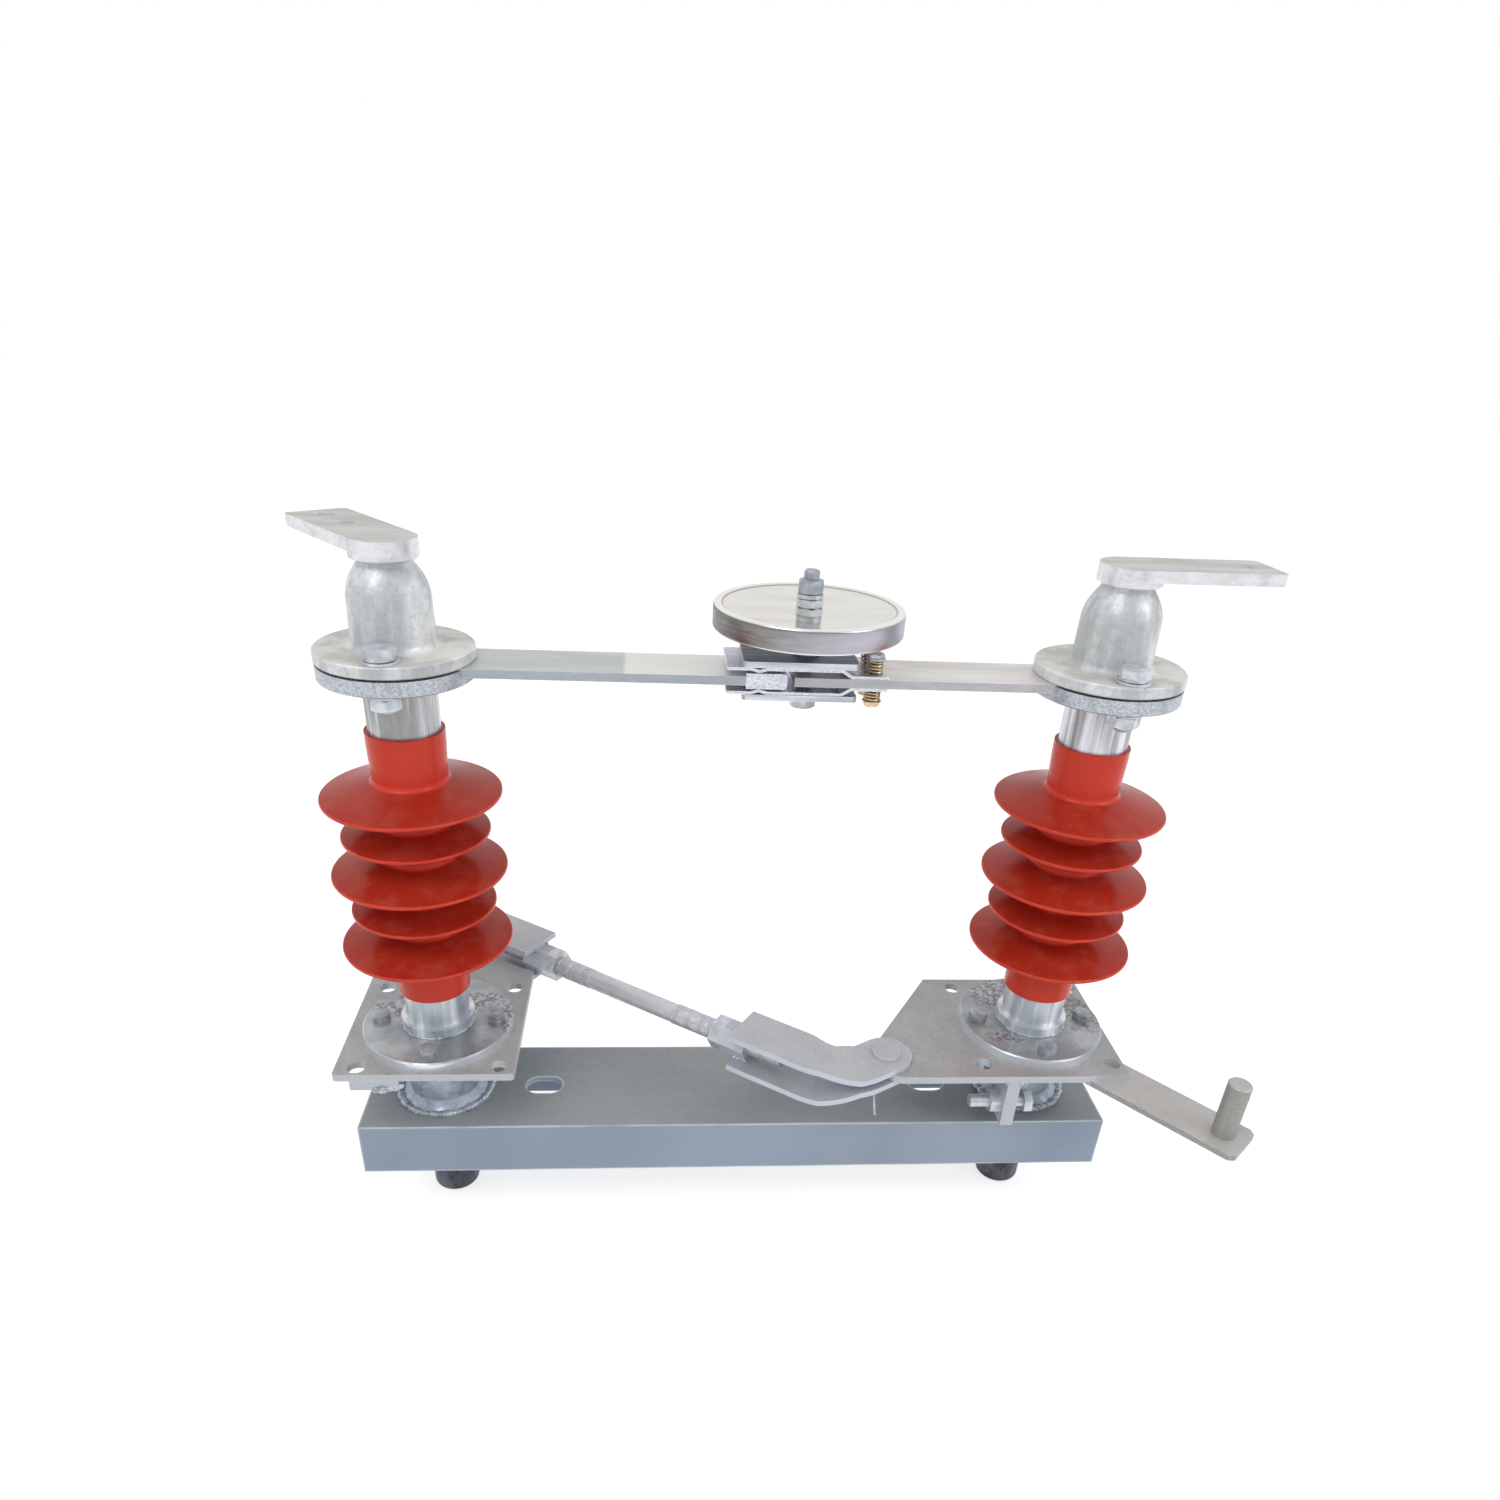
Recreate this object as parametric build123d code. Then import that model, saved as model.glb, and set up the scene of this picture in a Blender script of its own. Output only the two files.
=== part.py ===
"""Single-pole centre-break disconnect switch for a substation, closed, in millimetres.

A rolled channel carries two turning columns. Each column is a shaft in a bearing housing, a crank
plate, a ribbed insulator, a clamped head and a flat arm. The arms meet in the middle, in spring
fingers under a round rain cover. A cross link between the crank plates turns both columns together.
The origin is the middle of the underside of the channel's web, X runs along the channel, and +Z is up.
"""

from build123d import *
from math import cos, radians, sin, tan
import os

# Base, a rolled channel with its open side down
BASE_LENGTH = 600.0
BASE_WIDTH = 100.0
BASE_DEPTH = 46.0
BASE_WALL = 5.0
BASE_FLANGE_T = 8.0
BASE_FLANGE_SLOPE = 0.1
BASE_ROOT_R = 8.0
BASE_TOE_R = 4.0
COLUMN_SPACING = 480.0
SLOT_SPACING = 322.0
SLOT_LENGTH = 30.0
SLOT_WIDTH = 21.0

# Bearing housings, their weld rings, and the round caps below
HOUSING_R = 28.0
HOUSING_H = 47.0
WELD_RING_R = 37.0
WELD_RING_H = 8.0
LOWER_TUBE_R = 15.0
LOWER_TUBE_DEPTH = 76.0
CAP_R = 18.5
CAP_DEPTH = 96.0
CAP_LENGTH = 50.0
CAP_ROUND = 4.0
CAP_END_GAP = 3.0
SHAFT_R = 11.0
RUNNING_GAP = 0.05

# Crank plates: the right one, seen from its own axis. The left one is the same, turned back 90 degrees
PLATE_RISE = 55.8
PLATE_T = 6.0
BOSS_R = 25.0
BOSS_GAP = 1.0
PLATE_RIGHT = 61.0
PLATE_BACK = 65.0
PLATE_FRONT = -68.0
PLATE_SHOULDER = -75.0
PLATE_NOSE = -161.0
PLATE_NOSE_R = 25.0
PLATE_CORNER_R = 3.0
PLATE_HOLE_R = 6.75
PLATE_HOLE_AT = 52.0

# Crank pins at the plates' long corners
CRANK_X = -129.0
CRANK_Y = -44.0
CRANK_PIN_R = 6.0
CRANK_PIN_HEAD_R = 11.0
CRANK_PIN_HEAD_T = 2.5
CRANK_PIN_TAIL = 14.0
SPLIT_PIN_HOLE_R = 1.6
SPLIT_PIN_HOLE_UP = 7.0
PIVOT_GAP = 0.3
PIN_GAP = 0.1

# Operating lever under the right crank plate, with its upright pin
LEVER_ANGLE = -49.0
LEVER_REACH = 184.0
LEVER_START = 36.0
LEVER_WIDTH = 40.0
LEVER_T = 5.0
LEVER_CORNER = 4.0
LEVER_PIN_AT = 167.0
LEVER_PIN_R = 8.5
LEVER_PIN_H = 47.0
LEVER_PIN_EDGE = 1.0
LEVER_PIN_HOLE_R = 2.0
LEVER_PIN_HOLE_DROP = 9.0

# Stop tab under the right plate with its adjusting screw, and the stub under the left plate
TAB_T = 10.0
TAB_DEPTH = 25.0
TAB_HEIGHT = 43.0
TAB_X = -30.5
SCREW_R = 5.0
SCREW_DROP = 28.0
SCREW_HEAD_AF = 16.0
SCREW_HEAD_T = 6.4
SCREW_NUT_T = 8.4
SCREW_HEAD_OFFSET = 9.0
SCREW_TAIL = 24.0
STUB_X = -56.0
STUB_HEIGHT = 8.5
STUB_LENGTH = 36.0

# Bottom fitting of each insulator, bolted down on its crank plate
FLANGE_R = 57.7
FLANGE_T = 7.0
FLANGE_EDGE = 1.0
FLANGE_BOLT_CIRCLE = 89.0
FLANGE_BOLT_R = 4.0
FLANGE_HOLE_R = 4.5
FLANGE_BOLT_AF = 13.0
FLANGE_BOLT_HEAD = 5.3
FLANGE_NUT_T = 6.5
FLANGE_BOLT_TAIL = 2.5
COLLAR_R = 27.7
COLLAR_H = 8.0
FITTING_TUBE_R = 24.0
TUBE_BELOW = 33.2

# Ribbed insulator
RUBBER_LENGTH = 209.0
RUBBER_R = 25.5
RUBBER_END_R = 26.5
RUBBER_END_H = 10.0
SHED_COUNT = 5
SHED_FIRST_RISE = 41.9
SHED_PITCH = 29.5
BIG_SHED_R = 61.5
SMALL_SHED_R = 51.5
SHED_RIM = 3.0
SHED_RIM_R = 1.2
SHED_ROOT_R = 4.0
SHED_TOP_SLOPE = 15.0
SHED_UNDER_SLOPE = 8.0

# Heads: two discs that clamp the arm, and the bell above them
TUBE_ABOVE = 37.5
LOWER_DISC_R = 50.7
LOWER_DISC_T = 10.3
GROOVE_DEPTH = 4.6
GROOVE_GAP = 0.3
UPPER_DISC_R = 51.0
UPPER_DISC_T = 8.0
DISC_EDGE = 0.8
BELL_FOOT_R = 26.8
BELL_R = 26.2
BELL_STRAIGHT = 37.0
BELL_ROUND = 9.0
NECK_R = 17.5
NECK_RISE = 18.0
NECK_LIP = 3.0
HEAD_BOLT_AF = 19.0
HEAD_BOLT_R = 6.0
HEAD_HOLE_R = 6.5
HEAD_BOLT_HEAD = 7.5
HEAD_WASHER_R = 11.5
HEAD_WASHER_T = 2.5
HEAD_NUT_T = 10.0
HEAD_BOLT_TAIL = 3.0
HEAD_BOLT_AT = 38.6

# Flat arms
ARM_T = 6.0
ARM_W = 46.0
ARM_TAIL = 30.0

# Terminals that swivel on the heads
TERMINAL_R = 21.5
TERMINAL_DISC_T = 12.5
TERMINAL_BAR_T = 8.0
TERMINAL_REACH = 98.0
TERMINAL_HOLES = (48.0, 80.0)
TERMINAL_HOLE_R = 5.5
TERMINAL_EDGE = 0.8
TERMINAL_CORNER_R = 4.0
TERMINAL_GAP = 0.3
SPIGOT_R = 11.0
SPIGOT_LENGTH = 34.0
RIGHT_TERMINAL_ANGLE = 2.0
LEFT_TERMINAL_ANGLE = 129.0

# Contact in the middle: a thick tip on the left arm, sprung fingers and clamp plates on the right arm.
# Heights here are from the arms' middle, lengths from the middle of the switch
TIP_X0 = -12.5
TIP_X1 = 14.5
TIP_T = 10.4
TIP_W = 46.0
TIP_LEAD = 1.5
RIGHT_ARM_END = 19.5
FINGER_W = 45.0
FINGER_T = 2.0
FINGER_BEND_R = 1.5
FINGER_GAP = 0.3
FINGER_MOUTH_X = -24.5
FINGER_BUMP_X = -4.0
FINGER_BUMP_HALF = 5.5
FINGER_FLAT_Z = 8.0
FINGER_BEND_X = 51.0
FINGER_HEEL_X = 57.5
FINGER_END_X = 81.0
CLAMP_X0 = -14.6
CLAMP_X1 = 61.7
CLAMP_T = 4.0
CLAMP_W = 46.0
CLAMP_CORNER = 2.0
FINGER_BOLT_X = 74.0
FINGER_BOLT_Y = 12.0
FINGER_BOLT_R = 3.0
FINGER_BOLT_AF = 10.0
FINGER_BOLT_HEAD = 4.0
SPRING_R = 6.0
SPRING_H = 9.0

# Stud through the contact, and the round rain cover on it
STUD_X = 28.6
STUD_R = 5.0
STUD_AF = 16.0
STUD_HEAD_T = 10.5
STUD_TIP = 6.2
NUT_T = 8.4
THIN_NUT_T = 5.5
WASHER_R = 9.5
WASHER_T = 2.0
SPRING_WASHER_R = 8.6
SPRING_WASHER_T = 3.3
COVER_R = 63.2
COVER_RISE = 30.0
COVER_HEIGHT = 14.2
COVER_WALL = 2.0
COVER_ROUND = 2.0
COVER_BEAD_W = 6.0
COVER_BEAD_RISE = 1.2

# Cross link: two forks on the crank pins, a threaded rod between them
LINK_ANGLE = -35.0
LINK_KNEE_ANGLE = 210.0
STRAP_W = 40.0
STRAP_T = 4.5
STRAP_BEND_R = 8.0
STRAP_FLAT = 25.0
STRAP_RISE_LENGTH = 32.0
STRAP_KNEE_R = 40.0
STRAP_END_AT = 103.0
FORK_NUT_AF = 24.0
FORK_NUT_AT = 91.0
FORK_NUT_L = 22.0
LOCK_NUT_L = 10.5
ROD_END_AT = 143.0
ROD_R = 8.0
LINK_PARTING = 3.0

# Heights that follow from the sizes above, from the bottom up
BASE_TOP = BASE_WALL
HOUSING_TOP = BASE_TOP + HOUSING_H
PLATE_BOTTOM = BASE_TOP + PLATE_RISE
PLATE_TOP = PLATE_BOTTOM + PLATE_T
FLANGE_TOP = PLATE_TOP + FLANGE_T
RUBBER_BOTTOM = FLANGE_TOP + TUBE_BELOW
RUBBER_TOP = RUBBER_BOTTOM + RUBBER_LENGTH
LOWER_DISC_BOTTOM = RUBBER_TOP + TUBE_ABOVE
LOWER_DISC_TOP = LOWER_DISC_BOTTOM + LOWER_DISC_T
ARM_BOTTOM = LOWER_DISC_TOP - GROOVE_DEPTH
ARM_MID = ARM_BOTTOM + ARM_T / 2
ARM_TOP = ARM_BOTTOM + ARM_T
UPPER_DISC_TOP = ARM_TOP + UPPER_DISC_T
BELL_TOP = UPPER_DISC_TOP + BELL_STRAIGHT
NECK_TOP = BELL_TOP + NECK_RISE
CLAMP_Z = FINGER_FLAT_Z + FINGER_T / 2
COVER_RIM_Z = ARM_MID + COVER_RISE
COVER_TOP_Z = COVER_RIM_Z + COVER_HEIGHT
COVER_NUTS_TOP = COVER_TOP_Z + THIN_NUT_T + SPRING_WASHER_T + NUT_T

# Places that follow from the sizes above
LEFT_X = -COLUMN_SPACING / 2
RIGHT_X = COLUMN_SPACING / 2
RIGHT_PIN = (RIGHT_X + CRANK_X, CRANK_Y)
LEFT_PIN = (LEFT_X + CRANK_Y, -CRANK_X)
LINK_MID = ((RIGHT_PIN[0] + LEFT_PIN[0]) / 2, (RIGHT_PIN[1] + LEFT_PIN[1]) / 2)
LINK_Z = PLATE_BOTTOM + PLATE_T / 2


def rod(radius, bottom, top, x=0.0, y=0.0):
    """An upright cylinder between two heights."""
    return Pos(x, y, bottom) * extrude(Circle(radius), amount=top - bottom)


def hexagon(across_flats, bottom, top, x=0.0, y=0.0, turn=0.0):
    """An upright hexagon prism between two heights."""
    outline = Rot(0, 0, turn) * RegularPolygon(across_flats / 2, 6, major_radius=False)
    return Pos(x, y, bottom) * extrude(outline, amount=top - bottom)


def block(x0, x1, y0, y1, z0, z1):
    """A box between two corners."""
    size = Box(x1 - x0, y1 - y0, z1 - z0, align=(Align.MIN, Align.MIN, Align.MIN))
    return Pos(x0, y0, z0) * size


def round_corners(face, radius, places):
    """Rounds the corners of a flat outline that lie at the given places."""
    corners = [face.vertices().sort_by_distance(Vector(*place))[0] for place in places]
    return fillet(corners, radius)


def turned(points, x=0.0, rounds=()):
    """A solid of revolution about an upright axis, from (radius, height) points. Each of rounds is a
    radius and the points that it rounds."""
    face = make_face(Polyline(*points, close=True))
    for radius, places in rounds:
        face = round_corners(face, radius, places)
    return Pos(x, 0, 0) * revolve(Plane.XZ * face, Axis.Z)


def bent_sheet(line, thickness, bend_radius, width):
    """A sheet of even thickness and width, bent along a line of (x, z) points, with its middle on y = 0."""
    path = FilletPolyline(*line, radius=bend_radius)
    outline = make_face(offset(path, thickness / 2, kind=Kind.INTERSECTION, closed=True))
    return Pos(0, width / 2, 0) * extrude(Plane.XZ * outline, amount=width)


def save(node, shape):
    """Writes one node, as one solid or as several that stay apart."""
    solids = shape.solids()
    export_step(solids[0] if len(solids) == 1 else Compound(children=solids), f"parts/{node}.step")


def flange_bolt_places():
    """The four bolts of each bottom flange, from the column's axis."""
    radius = FLANGE_BOLT_CIRCLE / 2
    return [(radius * cos(radians(turn)), radius * sin(radians(turn))) for turn in (0, 90, 180, 270)]


def base_channel():
    """A rolled channel: square outside, flanges that thicken towards the web, round roots and toes."""
    half = BASE_WIDTH / 2
    low = BASE_TOP - BASE_DEPTH
    taper = BASE_FLANGE_SLOPE * (BASE_DEPTH - BASE_WALL) / 2
    root = half - BASE_FLANGE_T - taper
    toe = half - BASE_FLANGE_T + taper
    front = [(-half, BASE_TOP), (-half, low), (-toe, low), (-root, 0)]
    back = [(-y, z) for y, z in reversed(front)]
    profile = make_face(Polyline(*front, *back, close=True))
    profile = round_corners(profile, BASE_ROOT_R, [(-root, 0), (root, 0)])
    profile = round_corners(profile, BASE_TOE_R, [(-toe, low), (toe, low)])
    channel = extrude(Plane.YZ * profile, amount=BASE_LENGTH / 2, both=True)
    slot = extrude(SlotOverall(SLOT_LENGTH, SLOT_WIDTH), amount=BASE_WALL)
    for x in (-SLOT_SPACING / 2, SLOT_SPACING / 2):
        channel -= Pos(x, 0, 0) * slot
    for x in (LEFT_X, RIGHT_X):
        channel -= rod(LOWER_TUBE_R, 0, BASE_TOP, x)
    return channel


def bearing_housing(x):
    """The tube above the web with its weld ring, and the thinner tube that goes down through the web."""
    outline = [
        (SHAFT_R + RUNNING_GAP, -LOWER_TUBE_DEPTH),
        (LOWER_TUBE_R, -LOWER_TUBE_DEPTH),
        (LOWER_TUBE_R, BASE_TOP),
        (WELD_RING_R, BASE_TOP),
        (HOUSING_R, BASE_TOP + WELD_RING_H),
        (HOUSING_R, HOUSING_TOP),
        (SHAFT_R + RUNNING_GAP, HOUSING_TOP),
    ]
    return turned(outline, x)


def bearing_cap(x):
    """A deep round cap pushed on the lower tube, with its rim just above the channel's edge."""
    top = CAP_LENGTH - CAP_DEPTH
    floor = -LOWER_TUBE_DEPTH - CAP_END_GAP
    outline = [
        (0, -CAP_DEPTH),
        (CAP_R, -CAP_DEPTH),
        (CAP_R, top),
        (LOWER_TUBE_R, top),
        (LOWER_TUBE_R, -LOWER_TUBE_DEPTH),
        (SHAFT_R + RUNNING_GAP, -LOWER_TUBE_DEPTH),
        (SHAFT_R + RUNNING_GAP, floor),
        (0, floor),
    ]
    return turned(outline, x, [(CAP_ROUND, [(CAP_R, -CAP_DEPTH)])])


def column_shaft(x):
    """The shaft in the housing and the boss that the crank plate is welded on."""
    boss = rod(BOSS_R, HOUSING_TOP + BOSS_GAP, PLATE_BOTTOM, x)
    return boss + rod(SHAFT_R, -LOWER_TUBE_DEPTH, HOUSING_TOP + BOSS_GAP, x)


def crank_plate():
    """The right plate about its own axis: a wide plate whose long corner carries the crank pin."""
    nose = (PLATE_NOSE, PLATE_FRONT)
    right_corners = [(PLATE_RIGHT, PLATE_BACK), (PLATE_RIGHT, PLATE_FRONT)]
    outline = Polyline(
        right_corners[0],
        (PLATE_SHOULDER, PLATE_BACK),
        nose,
        right_corners[1],
        close=True,
    )
    face = round_corners(make_face(outline), PLATE_NOSE_R, [nose])
    face = round_corners(face, PLATE_CORNER_R, right_corners)
    plate = Pos(0, 0, PLATE_BOTTOM) * extrude(face, amount=PLATE_T)
    for x in (-PLATE_HOLE_AT, PLATE_HOLE_AT):
        for y in (-PLATE_HOLE_AT, PLATE_HOLE_AT):
            plate -= rod(PLATE_HOLE_R, PLATE_BOTTOM, PLATE_TOP, x, y)
    for x, y in flange_bolt_places():
        plate -= rod(FLANGE_HOLE_R, PLATE_BOTTOM, PLATE_TOP, x, y)
    return plate - rod(CRANK_PIN_R, PLATE_BOTTOM, PLATE_TOP, CRANK_X, CRANK_Y)


def crank_pin(place):
    """A headed pin through the fork and the plate, with its washer below and a drilled tail."""
    strap_out = PLATE_T / 2 + PIVOT_GAP + STRAP_T + PIVOT_GAP
    low = LINK_Z - strap_out
    high = LINK_Z + strap_out
    pin = rod(CRANK_PIN_R, low - CRANK_PIN_TAIL, high)
    pin += rod(CRANK_PIN_HEAD_R, high, high + CRANK_PIN_HEAD_T)
    pin += rod(CRANK_PIN_HEAD_R, low - CRANK_PIN_HEAD_T, low)
    hole = Rot(0, 90, 0) * Cylinder(SPLIT_PIN_HOLE_R, 4 * CRANK_PIN_R)
    pin -= Pos(0, 0, low - CRANK_PIN_TAIL + SPLIT_PIN_HOLE_UP) * hole
    return Pos(*place, 0) * pin


def operating_lever():
    """A flat bar with clipped corners, welded under the right plate and pointing out past its corner."""
    half = LEVER_WIDTH / 2
    bar = block(LEVER_START, LEVER_REACH, -half, half, PLATE_BOTTOM - LEVER_T, PLATE_BOTTOM)
    ends = bar.edges().filter_by(Axis.Z).group_by(Axis.X)[-1]
    return Pos(RIGHT_X, 0, 0) * Rot(0, 0, LEVER_ANGLE) * chamfer(ends, LEVER_CORNER)


def lever_pin():
    """The upright pin that the drive rod takes hold of, drilled near its top."""
    top = PLATE_BOTTOM + LEVER_PIN_H
    pin = rod(LEVER_PIN_R, PLATE_BOTTOM, top)
    pin = chamfer(pin.edges().group_by(Axis.Z)[-1], LEVER_PIN_EDGE)
    hole = Rot(0, 90, 0) * Cylinder(LEVER_PIN_HOLE_R, 4 * LEVER_PIN_R)
    pin -= Pos(0, 0, top - LEVER_PIN_HOLE_DROP) * hole
    return Pos(RIGHT_X, 0, 0) * Rot(0, 0, LEVER_ANGLE) * Pos(LEVER_PIN_AT, 0, 0) * pin


def stop_tab():
    """An upright tab under the front edge of the right plate, bored for the adjusting screw."""
    half = TAB_T / 2
    tab = block(-half, half, -TAB_DEPTH / 2, TAB_DEPTH / 2, -TAB_HEIGHT, 0)
    tab -= Pos(0, 0, -SCREW_DROP) * Rot(0, 90, 0) * Cylinder(SCREW_R, 2 * TAB_T)
    return stop_place() * tab


def stop_screw():
    """The adjusting screw through the stop tab, lying along X, with its lock nut on the left."""
    face = TAB_T / 2
    head_at = face + SCREW_HEAD_OFFSET
    screw = rod(SCREW_R, -face - SCREW_TAIL, head_at)
    screw += hexagon(SCREW_HEAD_AF, head_at, head_at + SCREW_HEAD_T)
    screw += hexagon(SCREW_HEAD_AF, -face - SCREW_NUT_T, -face)
    return stop_place() * Pos(0, 0, -SCREW_DROP) * Rot(0, 90, 0) * screw


def stop_place():
    """Where the stop tab hangs: the middle of its upper face."""
    return Pos(RIGHT_X + TAB_X, PLATE_FRONT + TAB_DEPTH / 2, PLATE_BOTTOM)


def left_stop_bar():
    """A short stub under the front of the left plate."""
    x0 = LEFT_X + STUB_X
    y0 = -PLATE_RIGHT
    return block(x0, x0 + STUB_LENGTH, y0, y0 + TAB_T, PLATE_BOTTOM - STUB_HEIGHT, PLATE_BOTTOM)


def bottom_flange(x):
    """The zinc-coated foot of the insulator: a drilled flange, a collar and a tube."""
    outline = [
        (0, PLATE_TOP),
        (FLANGE_R, PLATE_TOP),
        (FLANGE_R, FLANGE_TOP - FLANGE_EDGE),
        (FLANGE_R - FLANGE_EDGE, FLANGE_TOP),
        (COLLAR_R, FLANGE_TOP),
        (COLLAR_R, FLANGE_TOP + COLLAR_H),
        (FITTING_TUBE_R, FLANGE_TOP + COLLAR_H),
        (FITTING_TUBE_R, RUBBER_BOTTOM),
        (0, RUBBER_BOTTOM),
    ]
    flange = turned(outline, x)
    for across, along in flange_bolt_places():
        flange -= rod(FLANGE_HOLE_R, PLATE_TOP, FLANGE_TOP, x + across, along)
    return flange


def flange_bolts(x):
    """Four bolts through flange and plate, each with its nut below."""
    bolts = []
    low = PLATE_BOTTOM - FLANGE_NUT_T
    for across, along in flange_bolt_places():
        bolt = rod(FLANGE_BOLT_R, low - FLANGE_BOLT_TAIL, FLANGE_TOP, x + across, along)
        bolt += hexagon(FLANGE_BOLT_AF, FLANGE_TOP, FLANGE_TOP + FLANGE_BOLT_HEAD, x + across, along)
        bolts.append(bolt + hexagon(FLANGE_BOLT_AF, low, PLATE_BOTTOM, x + across, along))
    return Compound(children=bolts)


def insulator(x):
    """A rubber body with thick ends and sloping sheds, every other one smaller."""
    points = [(0, RUBBER_BOTTOM), (RUBBER_END_R, RUBBER_BOTTOM)]
    points.append((RUBBER_END_R, RUBBER_BOTTOM + RUBBER_END_H))
    rims = []
    roots = []
    for i in range(SHED_COUNT):
        rim = RUBBER_BOTTOM + SHED_FIRST_RISE + i * SHED_PITCH
        radius = SMALL_SHED_R if i % 2 else BIG_SHED_R
        reach = radius - RUBBER_R
        under = (RUBBER_R, rim + reach * tan(radians(SHED_UNDER_SLOPE)))
        over = (RUBBER_R, rim + SHED_RIM + reach * tan(radians(SHED_TOP_SLOPE)))
        points += [under, (radius, rim), (radius, rim + SHED_RIM), over]
        rims += [(radius, rim), (radius, rim + SHED_RIM)]
        roots += [under, over]
    points.append((RUBBER_END_R, RUBBER_TOP - RUBBER_END_H))
    points += [(RUBBER_END_R, RUBBER_TOP), (0, RUBBER_TOP)]
    return turned(points, x, [(SHED_RIM_R, rims), (SHED_ROOT_R, roots)])


def top_fitting(x, inward):
    """The tube on the insulator and the lower clamping disc, with its groove for the arm. The groove
    runs from just past the arm's end out to the disc's edge, towards the middle of the switch."""
    outline = [
        (0, RUBBER_TOP),
        (FITTING_TUBE_R, RUBBER_TOP),
        (FITTING_TUBE_R, LOWER_DISC_BOTTOM),
        (LOWER_DISC_R - DISC_EDGE, LOWER_DISC_BOTTOM),
        (LOWER_DISC_R, LOWER_DISC_BOTTOM + DISC_EDGE),
        (LOWER_DISC_R, LOWER_DISC_TOP),
        (0, LOWER_DISC_TOP),
    ]
    half = ARM_W / 2 + GROOVE_GAP
    ends = sorted((x - inward * (ARM_TAIL + GROOVE_GAP), x + inward * 2 * LOWER_DISC_R))
    fitting = turned(outline, x) - block(*ends, -half, half, ARM_BOTTOM, LOWER_DISC_TOP)
    for y in (-HEAD_BOLT_AT, HEAD_BOLT_AT):
        fitting -= rod(HEAD_HOLE_R, LOWER_DISC_BOTTOM, LOWER_DISC_TOP, x, y)
    return fitting


def terminal_housing(x):
    """The upper disc and the bell with its round shoulder, bored for the terminal's spigot."""
    bore = SPIGOT_R + RUNNING_GAP
    floor = NECK_TOP - SPIGOT_LENGTH - RUNNING_GAP
    shoulder = (BELL_R, BELL_TOP)
    outline = [
        (0, ARM_TOP),
        (UPPER_DISC_R, ARM_TOP),
        (UPPER_DISC_R, UPPER_DISC_TOP - DISC_EDGE),
        (UPPER_DISC_R - DISC_EDGE, UPPER_DISC_TOP),
        (BELL_FOOT_R, UPPER_DISC_TOP),
        shoulder,
        (NECK_R, NECK_TOP - NECK_LIP),
        (NECK_R, NECK_TOP),
        (bore, NECK_TOP),
        (bore, floor),
        (0, floor),
    ]
    housing = turned(outline, x, [(BELL_ROUND, [shoulder])])
    for y in (-HEAD_BOLT_AT, HEAD_BOLT_AT):
        housing -= rod(HEAD_HOLE_R, ARM_TOP, UPPER_DISC_TOP, x, y)
    return housing


def head_bolts(x):
    """Two bolts that clamp the discs on the arm, one in front of the bell and one behind it."""
    bolts = []
    under_head = UPPER_DISC_TOP + HEAD_WASHER_T
    low = LOWER_DISC_BOTTOM - HEAD_NUT_T
    for y in (-HEAD_BOLT_AT, HEAD_BOLT_AT):
        bolt = rod(HEAD_BOLT_R, low - HEAD_BOLT_TAIL, under_head, x, y)
        bolt += rod(HEAD_WASHER_R, UPPER_DISC_TOP, under_head, x, y)
        bolt += hexagon(HEAD_BOLT_AF, under_head, under_head + HEAD_BOLT_HEAD, x, y)
        bolts.append(bolt + hexagon(HEAD_BOLT_AF, low, LOWER_DISC_BOTTOM, x, y))
    return Compound(children=bolts)


def terminal(x, angle):
    """A flat bar with a round thick end, on a spigot that turns in the bell."""
    bottom = NECK_TOP + TERMINAL_GAP
    top = bottom + TERMINAL_DISC_T
    disc = rod(TERMINAL_R, bottom, top)
    disc = chamfer(disc.edges().group_by(Axis.Z)[0], TERMINAL_EDGE)
    bar = block(0, TERMINAL_REACH, -TERMINAL_R, TERMINAL_R, top - TERMINAL_BAR_T, top)
    bar = fillet(bar.edges().filter_by(Axis.Z).group_by(Axis.X)[-1], TERMINAL_CORNER_R)
    piece = bar + disc + rod(SPIGOT_R, NECK_TOP - SPIGOT_LENGTH, bottom)
    for at in TERMINAL_HOLES:
        piece -= rod(TERMINAL_HOLE_R, bottom, top, at)
    return Pos(x, 0, 0) * Rot(0, 0, angle) * piece


def flat_arm(x0, x1):
    return block(x0, x1, -ARM_W / 2, ARM_W / 2, ARM_BOTTOM, ARM_TOP)


def contact_bores(shape):
    """Cuts the holes of the cover stud and of the two spring bolts through a piece on the right arm."""
    low, high = ARM_MID - COVER_RISE, ARM_MID + COVER_RISE
    shape -= rod(STUD_R, low, high, STUD_X)
    for y in (-FINGER_BOLT_Y, FINGER_BOLT_Y):
        shape -= rod(FINGER_BOLT_R, low, high, FINGER_BOLT_X, y)
    return shape


def contact_tip():
    """The thick silvered end of the left arm, with a lead-in on both faces at its free edge."""
    low, high = ARM_MID - TIP_T / 2, ARM_MID + TIP_T / 2
    tip = block(TIP_X0, TIP_X1, -TIP_W / 2, TIP_W / 2, low, high)
    free_edges = tip.edges().filter_by(Axis.Y).group_by(Axis.X)[-1]
    return chamfer(free_edges, TIP_LEAD)


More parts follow.
